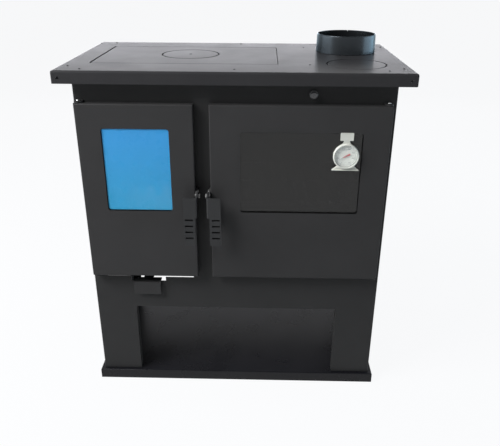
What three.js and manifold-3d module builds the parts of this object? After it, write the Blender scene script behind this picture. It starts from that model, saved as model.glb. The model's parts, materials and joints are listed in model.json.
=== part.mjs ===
// Wood cookstove: a folded sheet-steel cabinet with a firebox on the left, an oven on the right, an open wood store
// below and a steel cooking top with a lift-off cast plate, a burner lid, a round cleaning cover and a flue collar.
//
// Millimetres, X to the right, Y towards the back, Z up. While the pieces are modelled, X = 0 is the middle of the
// cabinet, Y = 0 its front face and Z = 0 the floor; the finished group is centred over its own footprint.

import * as THREE from 'three';
import { mergeVertices } from 'three/addons/utils/BufferGeometryUtils.js';
import Module from 'manifold-3d';

const wasm = await Module();
wasm.setup();

// ---------------------------------------------------------------------------------------------------------------
// Driving dimensions
// ---------------------------------------------------------------------------------------------------------------

// Sheet, clearances and bends
const sheet = 2; // cabinet, oven and deck sheet
const doorSheet = 2.5;
const topSheet = 3;
const seat = 0.3; // gap between a piece and what carries it
const bend = 3; // outside radius of a folded edge
const sharpest = 0.2; // no rounded corner is given a smaller radius
const over = 1; // how far a cutting tool passes the surface that it cuts

// Widths from left to right over the front
const fireDoorMargin = 4.7;
const fireDoorWidth = 255;
const postWidth = 34.2; // centre post between the doors
const ovenDoorWidth = 392.7;
const ovenDoorMargin = 10;

// Heights from the floor upwards
const plinthHeight = 26.5;
const storeHeight = 192.5; // wood store opening
const lowerRailHeight = 100.5;
const doorHeight = 418;
const headRailHeight = 43.5;
const skirtHeight = 27; // folded edge of the top plate

// Cabinet
const bodyDepth = 390;
const storeWidth = 502;
const openingCorner = 5; // corner radius of the cut-outs in the front
const frontFold = 20; // how far the front frame is folded back along the sides
const storeFlange = 20;
const doorFlange = 12;
const rearFlange = 25;
const backInset = 5; // back panel inside the cabinet's outline
const plinthReveal = 9.5; // how far the plinth shows round the cabinet
const plinthReturn = 15;

// Top plate
const frontOverhang = 34;
const sideOverhang = 31.7;
const rearOverhang = 16;
const topBend = 5;
const railHoleRadius = 3;
const railHoleInset = 14;
const railHoleDrop = 15;

// Cooking plate, burner lid, round cover and flue collar
const cookPlateWidth = 415;
const cookPlateDepth = 254;
const cookPlateThickness = 8;
const cookPlateCorner = 6;
const cookPlateSide = 57.5; // left edge of the top plate to the cooking plate
const cookPlateFront = 100.5; // front edge of the top plate to the cooking plate
const cookPlateGap = 1.6; // slit round the cooking plate
const cookPlatePlay = 1.6; // the slit is this much wider on the left
const ledgeWidth = 9;
const ledgeSheet = 3;
const ledgeStandoff = 1; // edge of an opening in the top to the wall of its ledge
const lidRadius = 66.5;
const lidThickness = 5;
const lidGap = 1.2;
const lidStep = 7; // ledge under the rim of the lid
const lidHoleRadius = 3.2;
const lidRibGap = 3; // lid's rib to the opening that it drops into
const lidRibWidth = 5;
const lidRibDepth = 4;
const lidFromLeft = 265; // left edge of the top plate to the middle of the lid
const lidFromFront = 237;
const coverRadius = 64;
const coverThickness = 6;
const coverGap = 1.2;
const coverFromRight = 113; // right edge of the top plate to the middle of the cover
const coverFromFront = 113;
const collarFromRight = 114.5;
const collarFromRear = 136;
const collarBaseRadius = 73;
const collarTopRadius = 71.5;
const collarHeight = 43;
const collarWall = 2.2;
const collarFoot = 7; // inward flange that the collar stands on

// Doors
const doorStand = 23; // front face of a door ahead of the cabinet
const doorClear = 5; // rear edge of a door ahead of the cabinet
const doorLap = 20; // how far a door laps the opening behind it
const cornerRelief = 5; // diagonal relief at the hinge corners
const fireWindow = { fromHinge: 53.4, fromTop: 54, width: 148, height: 192.5 };
const ovenWindow = { fromHinge: 59.3, fromTop: 58.5, width: 266.6, height: 189 };
const windowCorner = 6;
const glassThickness = 4;
const glassLap = 12;
const filmThickness = 0.4;
const filmInset = 0.6;
const linerSheet = 1.5;
const linerRim = 6.5; // window edge to the liner's folded rim
const sealInset = 7; // door edge to the rope seal
const sealWidth = 8;
const hingeInset = 9; // door edge to the middle of the hinge pin
const hingeSet = 7; // rear edge of the door to the middle of the hinge pin
const pinRadius = 4;
const pinLength = 14;
const pinClear = 0.2;
const pinHead = 1.2; // pin proud of its lug
const lugSheet = 3;
const lugGap = 0.5;
const lugRadius = 9;

// Door latches
const latchHeight = 217; // door bottom to the latch pivot
const latchSet = 8; // rear edge of the door to the latch pivot
const hookSheet = 3;
const hookGap = 0.5; // door edge to the hook
const hookEye = 8;
const hookReach = 27; // latch pivot to the rear end of the hook
const hookArm = 10;
const hookNose = 7; // how far the nose rises above the arm
const hookNoseLength = 10;
const hookCorner = 3;
const hookChamfer = 1.5;
const hookStudEye = 7;
const hookSlotClear = 1.6;
const latchTurn = 45; // degrees that a latch is lifted through
const boltRadius = 3;
const boltClear = 0.2;
const boltHeadRadius = 5;
const boltHead = 2.5;
const boltInside = 4; // bolt inside the door's flange
const studForward = 15; // latch pivot to the stud that holds the handle
const studDrop = 4;
const nutRadius = 5.6;
const nutHeight = 4;
const handleSheet = 3;
const handleStand = 34; // front of the handle ahead of the door
const handleWidth = 31.4;
const handleStep = 6; // the grip is this much narrower on the side of the post
const handleTop = 0.5; // latch pivot to the top of the handle
const handleHead = 48; // height of the head of the handle
const handleGrip = 69; // height of the grip below it
const handleBend = 4;
const handleCorner = 2;
const armEye = 9;
const armShoulder = 8; // flat start of the arm's lower edge
const gripSlots = 4;
const gripSlotLength = 16.5;
const gripSlotHeight = 3.2;
const gripSlotPitch = 14.9;
const gripSlotInset = 4;
const gripSlotDrop = 5;

// Thermometer on the oven door
const dialFromEdge = 95; // hinge edge of the oven door to the middle of the dial
const dialFromTop = 108.5;
const caseRadius = 29;
const caseDepth = 9;
const caseWall = 1.2;
const bezelWidth = 3.6;
const dialThickness = 0.8;
const lensThickness = 1;
const lensGap = 0.4;
const tabWidth = 28.6;
const tabBottom = 34;
const tabTop = 51.5;
const neckWidth = 14;
const footTopWidth = 40;
const footWidth = 59;
const footTop = 24.5;
const footBottom = 32;
const pointerLength = 17;
const pointerTail = 8.6;
const pointerThickness = 0.8;
const pointerHalf = 1.7;
const pointerAngle = 203; // degrees, counter-clockwise from +X seen from the front
const spindleRadius = 1.2;
const spindleHeight = 2;

// Air slide under the firebox
const slotFromDoor = 11.5; // door bottom to the top of the air slot
const slotHeight = 4;
const slotFromLeft = 28.6; // fire door's left edge to the slot
const slotLength = 212;
const notchFromLeft = 86.6;
const notchWidth = 85;
const notchDepth = 10.5;
const slideSheet = 2.5;
const tabCentre = 127; // fire door's left edge to the middle of the tab
const tabPlateWidth = 66;
const tabOut = 12; // tab ahead of the cabinet
const tabIn = 13;
const tabLip = 34;
const slideNeck = 24;
const inletWidth = 90;
const inletDepth = 60;
const inletFromFront = 110;
const inletWall = 3;
const shutterLap = 6;
const slideTravel = 70;
const guideLip = 6;
const guideSheet = 2.5;
const tabCorner = 2;

// Firebox
const deckBelowDoor = 9.5; // door bottom to the underside of the deck
const deckFlange = 15;
const fireSheet = 3;
const fireRearSpace = 20; // firebox shell to the rear of the cabinet
const flameSill = 108; // top of the firebox shell down to the flame opening
const flameInset = 40;
const grateLevel = 75; // door bottom to the underside of the grate frame
const grateFrameThickness = 5;
const ledgeBar = 12;
const grateWidth = 132;
const grateRearSpace = 54; // grate to the rear of the firebox shell
const grateCorner = 7;
const grateDraft = 1;
const trayWall = 4;
const grateThickness = 12;
const grateGap = 1;
const grateLedge = 6;
const grateFromFront = 66;
const grateRows = 13;
const grateSlot = 7;
const grateFlare = 2.5; // how much wider a slot is at the underside
const grateRim = 10;
const grateSpine = 10;
const brickThickness = 25;
const brickHeight = 236;
const brickChamfer = 6;
const brickJoint = 0.6;
const guardThickness = 7;
const guardToBrick = 2;
const guardFromFrame = 3;
const guardHeight = 136.5;
const guardTeeth = 6;
const toothHeight = 24;
const toothTop = 15;
const toothChamfer = 3;
const toothFoot = 21;
const guardSlotWidth = 11;
const guardSlotHeight = 62;

// Ash drawer
const drawerWidth = 168;
const drawerRearSpace = 24; // drawer to the rear of the firebox shell
const drawerCorner = 5;
const drawerHeight = 38;
const drawerFromFront = 36;
const drawerSheet = 1.5;
const drawerLift = 21.5; // door bottom to the underside of the drawer
const drawerPull = 13;
const drawerPullWidth = 90;
const drawerPullBend = 2;
const runnerSheet = 2;
const runnerShelf = 12;
const runnerFoot = 14;
const runnerSide = 3;
const runnerGuide = 16;
const runnerLead = 10; // runner ahead of the drawer

// Oven
const ovenRearSpace = 26; // oven box to the rear of the cabinet
const cleatWidth = 30;
const cleatFoot = 10;
const cleatInset = 8; // oven's side to the end of a cleat
const cleatFromEnd = 40; // front and rear of the oven to the middle of a cleat
const rackRunnerStand = 6;
const rackRunnerSheet = 1.5;
const rackLedge = 9;
const rackLevels = 4;
const rackFirst = 70; // oven floor to the lowest ledge
const rackHeadroom = 72.6; // highest ledge to the oven's roof
const rackRunnerEnd = 8; // runner short of the oven's ends
const rackLevel = 1; // level that carries the rack, counted from 0
const rackWireRadius = 3;
const rackBarRadius = 2;
const rackBars = 11;
const rackStretcherRadius = 2.4;
const rackStretcherDrop = 0.6;
const rackRearSpace = 24; // rack to the rear of the oven
const rackFromFront = 40;
const rackSideClear = 1.5;

// Flue divider and damper
const damperFromLeft = 517.3; // cabinet's left side to the damper rod
const damperDrop = 51; // cooking surface down to the damper rod
const rodRadius = 4;
const rodClear = 0.5;
const knobRadius = 8;
const knobLength = 11;
const knobCollar = 3;
const knobStep = 1.6;
const knobRound = 3;
const knobGap = 2;
const plateSheet = 3;
const plateLength = 120;
const plateHeight = 58;
const plateFromFront = 190;
const plateCorner = 4;
const plateWeld = 0.5; // rod let into the plate
const rodInset = 10; // end of the rod inside the plate's rear edge
const windowLap = 8; // damper plate past the window on each side
const damperTravel = 105;
const dividerGap = 0.5;
const dividerFoot = 12;
const dividerSetback = 10; // front frame to the divider's foot
const damperGuide = 4;
const damperGuideLap = 5; // guides past the plate at both ends of its travel

// ---------------------------------------------------------------------------------------------------------------
// Worked-out places
// ---------------------------------------------------------------------------------------------------------------

const bodyWidth = fireDoorMargin + fireDoorWidth + postWidth + ovenDoorWidth + ovenDoorMargin;
const bodyLeft = -bodyWidth / 2;
const bodyRight = bodyWidth / 2;
const fireLeft = bodyLeft + fireDoorMargin;
const fireRight = fireLeft + fireDoorWidth;
const ovenLeft = fireRight + postWidth;
const ovenRight = ovenLeft + ovenDoorWidth;

const storeTop = plinthHeight + storeHeight;
const doorBottom = storeTop + lowerRailHeight;
const doorTop = doorBottom + doorHeight;
const skirtBottom = doorTop + headRailHeight;
const cookTop = skirtBottom + skirtHeight;
const bodyBottom = plinthHeight + seat;
const bodyTop = cookTop - topSheet - seat;

const doorFront = -doorStand;
const doorRear = -doorClear;
const frameRear = sheet + seat; // where pieces behind the front frame start
const fireOpening = { x0: fireLeft + doorLap, x1: fireRight - doorLap, z0: doorBottom + doorLap, z1: doorTop - doorLap };
const ovenOpening = { x0: ovenLeft + doorLap, x1: ovenRight - doorLap, z0: doorBottom + doorLap, z1: doorTop - doorLap };
const flangeOut = sheet + seat; // opening edge to the inside of the box behind it

const plateLeft = bodyLeft - sideOverhang;
const plateRight = bodyRight + sideOverhang;
const plateFront = -frontOverhang;
const plateRear = bodyDepth + rearOverhang;

const deckBottom = doorBottom - deckBelowDoor;
const deckTop = deckBottom + sheet;
const sideInner = sheet + seat + sheet + seat; // cabinet side to the pieces between the joggled side panels

const hingeY = doorRear - hingeSet;
const latchY = doorRear - latchSet;
const latchZ = doorBottom + latchHeight;
const rodX = bodyLeft + damperFromLeft;
const rodZ = cookTop - damperDrop;
const footprintMiddle = (plateRear + doorFront - handleStand) / 2;

// ---------------------------------------------------------------------------------------------------------------
// Shapes
// ---------------------------------------------------------------------------------------------------------------

const turn = Math.PI / 180;

// A closed geometry as a solid that can be joined and cut.
function solid(geometry) {
  const bare = new THREE.BufferGeometry();
  bare.setAttribute('position', geometry.getAttribute('position').clone());
  if (geometry.index) {
    bare.setIndex(geometry.index.clone());
  }
  const merged = mergeVertices(bare, 1e-4);
  const corners = merged.index.array;
  const kept = [];
  for (let i = 0; i < corners.length; i += 3) {
    const [a, b, c] = [corners[i], corners[i + 1], corners[i + 2]];
    if (a !== b && b !== c && c !== a) {
      kept.push(a, b, c);
    }
  }
  const vertProperties = new Float32Array(merged.getAttribute('position').array);
  const triVerts = new Uint32Array(kept);
  return new wasm.Manifold(new wasm.Mesh({ numProp: 3, vertProperties, triVerts }));
}

function join(...pieces) {
  return pieces.reduce((whole, piece) => whole.add(piece));
}

function cut(blank, ...tools) {
  return tools.reduce((left, tool) => left.subtract(tool), blank);
}

function box(x0, x1, y0, y1, z0, z1) {
  const block = new THREE.BoxGeometry(x1 - x0, y1 - y0, z1 - z0);
  return solid(block.translate((x0 + x1) / 2, (y0 + y1) / 2, (z0 + z1) / 2));
}

function extruded(outline, holes, length) {
  const shape = new THREE.Shape(outline.map(([u, v]) => new THREE.Vector2(u, v)));
  for (const hole of holes) {
    shape.holes.push(new THREE.Path(hole.map(([u, v]) => new THREE.Vector2(u, v))));
  }
  return new THREE.ExtrudeGeometry(shape, { depth: length, bevelEnabled: false });
}

// An outline in (y, z) from x0 to x1.
function alongX(outline, x0, x1, holes = []) {
  const axes = new THREE.Matrix4().makeBasis(
    new THREE.Vector3(0, 1, 0), new THREE.Vector3(0, 0, 1), new THREE.Vector3(1, 0, 0));
  return solid(extruded(outline, holes, x1 - x0).applyMatrix4(axes).translate(x0, 0, 0));
}

// An outline in (x, z) from y0 to y1.
function alongY(outline, y0, y1, holes = []) {
  const axes = new THREE.Matrix4().makeBasis(
    new THREE.Vector3(1, 0, 0), new THREE.Vector3(0, 0, 1), new THREE.Vector3(0, -1, 0));
  return solid(extruded(outline, holes, y1 - y0).applyMatrix4(axes).translate(0, y1, 0));
}

// An outline in (x, y) from z0 to z1.
function alongZ(outline, z0, z1, holes = []) {
  return solid(extruded(outline, holes, z1 - z0).translate(0, 0, z0));
}

function arc(u, v, radius, fromDegrees, toDegrees, steps) {
  const points = [];
  for (let i = 0; i <= steps; i += 1) {
    const angle = (fromDegrees + ((toDegrees - fromDegrees) * i) / steps) * turn;
    points.push([u + radius * Math.cos(angle), v + radius * Math.sin(angle)]);
  }
  return points;
}

function circle(u, v, radius, steps = 24) {
  return arc(u, v, radius, 0, 360 - 360 / steps, steps - 1);
}

function rectangle(u0, v0, u1, v1) {
  return [[u0, v0], [u1, v0], [u1, v1], [u0, v1]];
}

function rounded(u0, v0, u1, v1, radius, steps = 4) {
  return [
    ...arc(u1 - radius, v0 + radius, radius, -90, 0, steps),
    ...arc(u1 - radius, v1 - radius, radius, 0, 90, steps),
    ...arc(u0 + radius, v1 - radius, radius, 90, 180, steps),
    ...arc(u0 + radius, v0 + radius, radius, 180, 270, steps),
  ];
}

// A round slot lying along the first axis.
function slot(u, v, length, width, steps = 4) {
  const reach = length / 2 - width / 2;
  return [...arc(u + reach, v, width / 2, -90, 90, steps), ...arc(u - reach, v, width / 2, 90, 270, steps)];
}

// A profile with its two top corners rounded, from (u0, v0) to (u1, v1).
function arch(u0, u1, v0, v1, radius) {
  return [
    [u0, v0], [u1, v0],
    ...arc(u1 - radius, v1 - radius, radius, 0, 90, 4),
    ...arc(u0 + radius, v1 - radius, radius, 90, 180, 4),
  ];
}

// A block whose top edges are rounded on all four sides, as sheet folds over.
function foldedBlock(x0, x1, y0, y1, z0, z1, radius) {
  const across = alongY(arch(x0, x1, z0, z1, radius), y0, y1);
  return across.intersect(alongX(arch(y0, y1, z0, z1, radius), x0, x1));
}

// A pan folded from one sheet, open below.
function foldedPan(x0, x1, y0, y1, z0, z1, wall, radius) {
  const inside = foldedBlock(
    x0 + wall, x1 - wall, y0 + wall, y1 - wall, z0 - over, z1 - wall, Math.max(radius - wall, sharpest));
  return cut(foldedBlock(x0, x1, y0, y1, z0, z1, radius), inside);
}

// A profile of [radius, height] points turned about Z and stood at (x, y, z).
function turned(profile, x, y, z, steps = 32) {
  const points = profile.map(([radius, height]) => new THREE.Vector2(radius, height));
  const lathe = new THREE.LatheGeometry(points, steps).rotateX(Math.PI / 2);
  return solid(lathe.translate(x, y, z));
}

// The same, turned about an axis that points forwards, with its foot at (x, y, z).
function turnedForward(profile, x, y, z, steps = 32) {
  const points = profile.map(([radius, height]) => new THREE.Vector2(radius, height));
  const lathe = new THREE.LatheGeometry(points, steps).rotateX(Math.PI);
  return solid(lathe.translate(x, y, z));
}

// A prism whose section changes from one outline below to another above, point for point.
function tapered(lower, upper, z0, z1) {
  const flat = THREE.ShapeUtils.triangulateShape(lower.map(([u, v]) => new THREE.Vector2(u, v)), []);
  const count = lower.length;
  const index = [];
  for (const [a, b, c] of flat) {
    index.push(a, c, b, a + count, b + count, c + count);
  }
  for (let i = 0; i < count; i += 1) {
    const next = (i + 1) % count;
    index.push(i, next, next + count, i, next + count, i + count);
  }
  const position = [...lower.map(([u, v]) => [u, v, z0]), ...upper.map(([u, v]) => [u, v, z1])].flat();
  const geometry = new THREE.BufferGeometry();
  geometry.setAttribute('position', new THREE.Float32BufferAttribute(position, 3));
  geometry.setIndex(index);
  return solid(geometry);
}

// ---------------------------------------------------------------------------------------------------------------
// Finishes
// ---------------------------------------------------------------------------------------------------------------

function finish(color, roughness, metalness) {
  return new THREE.MeshStandardMaterial({ color, roughness, metalness });
}

const blackPaint = () => finish(0x2b2c2e, 0.55, 0.2);
const topSteel = () => finish(0x3a3b3e, 0.45, 0.5);
const castIron = () => finish(0x3d3d40, 0.6, 0.5);
const rawSteel = () => finish(0x5a5d61, 0.5, 0.7);
const zinc = () => finish(0xb9bcc0, 0.3, 0.9);
const stainless = () => finish(0xc9ccd0, 0.25, 0.9);
const brick = () => finish(0xb79a72, 0.95, 0);
const rope = () => finish(0x8e8f8c, 0.95, 0);
const darkGlass = () => finish(0x23282c, 0.08, 0);
const blueFilm = () => finish(0x429ad6, 0.35, 0);
const dialWhite = () => finish(0xeef0f0, 0.5, 0);
const pointerRed = () => finish(0xb02020, 0.4, 0);

function piece(name, shape, material) {
  const mesh = shape.getMesh();
  const geometry = new THREE.BufferGeometry();
  geometry.setAttribute('position', new THREE.BufferAttribute(new Float32Array(mesh.vertProperties), 3));
  geometry.setIndex(new THREE.BufferAttribute(new Uint32Array(mesh.triVerts), 1));
  const faceted = geometry.toNonIndexed();
  faceted.computeVertexNormals();
  const node = new THREE.Mesh(faceted, material);
  node.name = name;
  return node;
}

// Pieces that move together, in a group whose own origin lies on their joint.
function moving(parent, pivot, pieces) {
  const group = new THREE.Group();
  const start = parent.userData.pivot;
  group.userData.pivot = pivot;
  group.position.set(pivot[0] - start[0], pivot[1] - start[1], pivot[2] - start[2]);
  for (const node of pieces) {
    node.geometry.translate(-pivot[0], -pivot[1], -pivot[2]);
    group.add(node);
  }
  parent.add(group);
  return group;
}

// ---------------------------------------------------------------------------------------------------------------
// Cabinet
// ---------------------------------------------------------------------------------------------------------------

function basePlinth() {
  const [x0, x1] = [bodyLeft - plinthReveal, bodyRight + plinthReveal];
  const [y0, y1] = [-plinthReveal, bodyDepth + plinthReveal];
  const pan = foldedPan(x0, x1, y0, y1, 0, plinthHeight, sheet, bend);
  const rim = sheet + plinthReturn;
  const sill = cut(
    box(x0 + sheet / 2, x1 - sheet / 2, y0 + sheet / 2, y1 - sheet / 2, 0, sheet),
    box(x0 + rim, x1 - rim, y0 + rim, y1 - rim, -over, sheet + over));
  return join(pan, sill);
}

// The plan of the front frame: a face with both sides folded back.
function frontPlan() {
  const inner = Math.max(bend - sheet, sharpest);
  return [
    [bodyLeft, frontFold], [bodyLeft, bend], ...arc(bodyLeft + bend, bend, bend, 180, 270, 3),
    ...arc(bodyRight - bend, bend, bend, 270, 360, 3), [bodyRight, frontFold],
    [bodyRight - sheet, frontFold], ...arc(bodyRight - sheet - inner, sheet + inner, inner, 0, -90, 2),
    ...arc(bodyLeft + sheet + inner, sheet + inner, inner, -90, -180, 2), [bodyLeft + sheet, frontFold],
  ];
}

// A flange folded back round a cut-out.
function openingFlange(opening, depth) {
  const { x0, x1, z0, z1 } = opening;
  const outside = rounded(x0 - sheet, z0 - sheet, x1 + sheet, z1 + sheet, openingCorner + sheet);
  return alongY(outside, sheet / 2, sheet + depth, [rounded(x0, z0, x1, z1, openingCorner)]);
}

function openingCut(opening) {
  const { x0, x1, z0, z1 } = opening;
  return alongY(rounded(x0, z0, x1, z1, openingCorner), -over, sheet + over);
}

// The place of a latch's pieces, with side +1 where the post is to the right of the door and -1 to the left.
function latchPlace(edge, side) {
  return { edge, side, at: (offset) => edge + side * offset };
}

const fireLatch = latchPlace(fireRight, 1);
const ovenLatch = latchPlace(ovenLeft, -1);

function span(place, from, to) {
  const [a, b] = [place.at(from), place.at(to)];
  return [Math.min(a, b), Math.max(a, b)];
}

function hookSlot(place) {
  const [x0, x1] = span(place, hookGap - hookSlotClear, hookGap + hookSheet + hookSlotClear);
  const top = latchZ + hookArm / 2 + hookSlotClear;
  const lifted = hookArm / 2 / Math.cos(latchTurn * turn) + (sheet - latchY) * Math.tan(latchTurn * turn);
  return box(x0, x1, -over, sheet + over, latchZ - lifted - hookSlotClear, top);
}

function frontFrame() {
  const face = alongZ(frontPlan(), bodyBottom, bodyTop);
  const store = { x0: -storeWidth / 2, x1: storeWidth / 2, z0: bodyBottom - storeHeight, z1: storeTop };
  const flanges = [
    openingFlange(fireOpening, doorFlange),
    openingFlange(ovenOpening, doorFlange),
    cut(openingFlange(store, storeFlange), box(bodyLeft, bodyRight, 0, bodyDepth, -storeHeight, bodyBottom)),
  ];
  const slotLeft = fireLeft + slotFromLeft;
  const slotTop = doorBottom - slotFromDoor;
  const notchLeft = fireLeft + notchFromLeft;
  return cut(
    join(face, ...flanges),
    openingCut(fireOpening),
    openingCut(ovenOpening),
    openingCut(store),
    box(slotLeft, slotLeft + slotLength, -over, sheet + over, slotTop - slotHeight, slotTop),
    box(notchLeft, notchLeft + notchWidth, -over, sheet + over, slotTop - slotHeight - notchDepth, slotTop - over),
    hookSlot(fireLatch),
    hookSlot(ovenLatch),
    alongY(circle(rodX, rodZ, rodRadius + rodClear), -over, sheet + over));
}

// A side panel: joggled in behind the folded edge of the front frame, and folded inwards along the rear edge.
function sidePanel(side) {
  const face = side * bodyRight;
  const inner = face - side * sheet;
  const lap = inner - side * seat;
  const start = frontFold + seat;
  const plan = [
    [face, start], [face, bodyDepth], [face - side * rearFlange, bodyDepth],
    [face - side * rearFlange, bodyDepth - sheet], [inner, bodyDepth - sheet],
    [inner, start + sheet * 2], [lap - side * sheet, start + sheet], [lap - side * sheet, bend + sheet * 2],
    [lap, bend + sheet * 2], [lap, start],
  ];
  return alongZ(plan, bodyBottom, bodyTop);
}

// The back panel is screwed on from behind and ends above the wood store, which is open at the back.
function backPanel() {
  return alongY(
    rounded(bodyLeft + backInset, storeTop, bodyRight - backInset, bodyTop - backInset, openingCorner),
    bodyDepth + seat, bodyDepth + seat + sheet);
}

function deckPlate() {
  const half = bodyWidth / 2 - sideInner;
  const rear = bodyDepth - sheet - seat;
  const joggleEnd = frontFold + seat + sheet * 2 + seat;
  const wide = bodyWidth / 2 - sheet - seat;
  const plan = [
    [-half, frameRear], [half, frameRear], [half, joggleEnd], [wide, joggleEnd], [wide, rear],
    [-wide, rear], [-wide, joggleEnd], [-half, joggleEnd],
  ];
  const inletX = fireLeft + tabCentre;
  const inlet = rectangle(
    inletX - inletWidth / 2, inletFromFront, inletX + inletWidth / 2, inletFromFront + inletDepth);
  const flange = (x0, x1) => box(x0, x1, joggleEnd, rear, deckBottom - deckFlange, deckBottom + sheet / 2);
  return join(
    alongZ(plan, deckBottom, deckTop, [inlet]), flange(-wide, -wide + sheet), flange(wide - sheet, wide));
}

// The frame under the deck that the air slide is held and guided by.
function airInletGuide() {
  const centre = fireLeft + tabCentre;
  const top = deckBottom - seat;
  const slideTop = doorBottom - slotFromDoor - slotHeight - notchDepth + seat + slideSheet;
  const [y0, y1] = [inletFromFront - inletWall, inletFromFront + inletDepth + inletWall];
  const half = inletWidth / 2;
  const duct = alongZ(
    rectangle(centre - half - inletWall, y0, centre + half + inletWall, y1), slideTop + seat, top,
    [rectangle(centre - half, inletFromFront, centre + half, inletFromFront + inletDepth)]);
  const low = slideTop - slideSheet - seat - guideSheet;
  const railOuter = half + shutterLap + seat + guideSheet;
  const rail = (side) => {
    const outer = centre + side * railOuter;
    const outline = [
      [outer, low], [outer, top], [centre + side * (half + 1), top], [centre + side * (half + 1), top - guideSheet],
      [outer - side * guideSheet, top - guideSheet], [outer - side * guideSheet, low + guideSheet],
      [outer - side * (guideSheet + guideLip), low + guideSheet], [outer - side * (guideSheet + guideLip), low],
    ];
    return alongY(outline, y0, y1 + shutterLap);
  };
  return join(duct, rail(-1), rail(1));
}

function airSlide() {
  const centre = fireLeft + tabCentre;
  const low = doorBottom - slotFromDoor - slotHeight - notchDepth + seat;
  const half = inletWidth / 2 + shutterLap;
  const shutterFront = inletFromFront - shutterLap;
  const shutterRear = inletFromFront + inletDepth + shutterLap;
  const neck = slideNeck / 2;
  const tab = tabPlateWidth / 2;
  const plan = [
    [centre - tab, -tabOut], [centre + tab, -tabOut], [centre + tab, tabIn], [centre + neck, tabIn],
    [centre + neck, shutterFront], [centre + half, shutterFront], [centre + half, shutterRear],
    [centre - half, shutterRear], [centre - half, shutterFront], [centre - neck, shutterFront],
    [centre - neck, tabIn], [centre - tab, tabIn],
  ];
  const lip = alongY(
    rounded(centre - tab, low + slideSheet - tabLip, centre + tab, low + slideSheet, tabCorner),
    -tabOut, -tabOut + slideSheet);
  return join(alongZ(plan, low, low + slideSheet), lip);
}

// ---------------------------------------------------------------------------------------------------------------
// Firebox
// ---------------------------------------------------------------------------------------------------------------

const fireInner = { x0: fireOpening.x0 - flangeOut, x1: fireOpening.x1 + flangeOut };
const grateFrameBottom = doorBottom + grateLevel;
const grateFrameTop = grateFrameBottom + grateFrameThickness;
const ledgeBottom = cookTop - cookPlateThickness - seat - ledgeSheet;
const fireTop = ledgeBottom - seat;
const fireRear = bodyDepth - fireRearSpace;
const grateDepth = fireRear - grateRearSpace - grateFromFront;
const grateX = (fireInner.x0 + fireInner.x1) / 2;

function fireboxShell() {
  const { x0, x1 } = fireInner;
  const plan = [
    [x0 - fireSheet, frameRear], [x0, frameRear], [x0, fireRear - fireSheet], [x1, fireRear - fireSheet],
    [x1, frameRear], [x1 + fireSheet, frameRear], [x1 + fireSheet, fireRear], [x0 - fireSheet, fireRear],
  ];
  const walls = alongZ(plan, deckTop + seat, fireTop);
  const barTop = grateFrameBottom - seat;
  const bar = (from, to) => box(from, to, sheet + doorFlange + seat, fireRear - fireSheet / 2, barTop - fireSheet, barTop);
  const flame = box(
    x1 - over, x1 + fireSheet + over, flameInset, fireRear - flameInset, fireTop - flameSill, fireTop + over);
  return cut(
    join(walls, bar(x0 - fireSheet / 2, x0 + ledgeBar), bar(x1 - ledgeBar, x1 + fireSheet / 2)), flame);
}

function grateFrame() {
  const y0 = sheet + doorFlange + seat;
  const hole = { u: grateX, half: grateWidth / 2 + grateGap, v0: grateFromFront - grateGap };
  const far = grateFromFront + grateDepth + grateGap;
  const well = (offset) => rounded(
    hole.u - hole.half - offset, hole.v0 - offset, hole.u + hole.half + offset, far + offset,
    Math.max(grateCorner + grateGap + offset, sharpest));
  const plate = alongZ(
    rectangle(fireInner.x0 + seat, y0, fireInner.x1 - seat, fireRear - fireSheet - seat),
    grateFrameBottom, grateFrameTop, [well(0)]);
  const low = grateFrameTop - grateThickness - seat - grateFrameThickness;
  const tray = alongZ(well(trayWall), low, grateFrameBottom + grateFrameThickness / 2, [well(0)]);
  const rest = alongZ(well(trayWall / 2), low, low + grateFrameThickness, [well(-grateLedge - grateGap)]);
  return join(plate, tray, rest);
}

// The cast grate: two columns of slots that widen downwards, so that ash can't wedge in them.
function fireGrate() {
  const top = grateFrameTop;
  const low = top - grateThickness;
  const half = grateWidth / 2;
  const y0 = grateFromFront;
  const y1 = grateFromFront + grateDepth;
  const outline = (draft) => rounded(
    grateX - half + draft, y0 + draft, grateX + half - draft, y1 - draft, grateCorner - draft);
  const blank = tapered(outline(grateDraft), outline(0), low, top);
  const length = (grateWidth - 2 * grateRim - grateSpine) / 2;
  const pitch = (grateDepth - 2 * grateRim) / grateRows;
  const tools = [];
  for (let row = 0; row < grateRows; row += 1) {
    const v = y0 + grateRim + pitch * (row + 0.5);
    for (const side of [-1, 1]) {
      const u = grateX + (side * (length + grateSpine)) / 2;
      const below = slot(u, v, length + grateFlare, grateSlot + grateFlare, 2);
      tools.push(tapered(below, slot(u, v, length, grateSlot, 2), low - over, top + over));
    }
  }
  return cut(blank, ...tools);
}

// A fire brick stands on the grate frame; its top inner edge is chamfered towards the fire.
function brickProfile(wall, side) {
  const z0 = grateFrameTop + seat;
  const z1 = z0 + brickHeight;
  const face = wall + side * brickThickness;
  return [[wall, z0], [face, z0], [face, z1 - brickChamfer], [face - side * brickChamfer, z1], [wall, z1]];
}

const brickStart = sheet + doorFlange + guardFromFrame + guardThickness + guardToBrick;
const backBrickFront = fireRear - fireSheet - seat - brickThickness;

function sideBrick(side, row) {
  const wall = side > 0 ? fireInner.x0 + seat : fireInner.x1 - seat;
  const length = (backBrickFront - brickJoint - brickStart) / 2;
  const start = brickStart + row * length;
  return alongY(brickProfile(wall, side), start, start + length - brickJoint);
}

function backBrick() {
  return alongX(brickProfile(fireRear - fireSheet - seat, -1), fireInner.x0 + seat, fireInner.x1 - seat);
}

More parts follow.
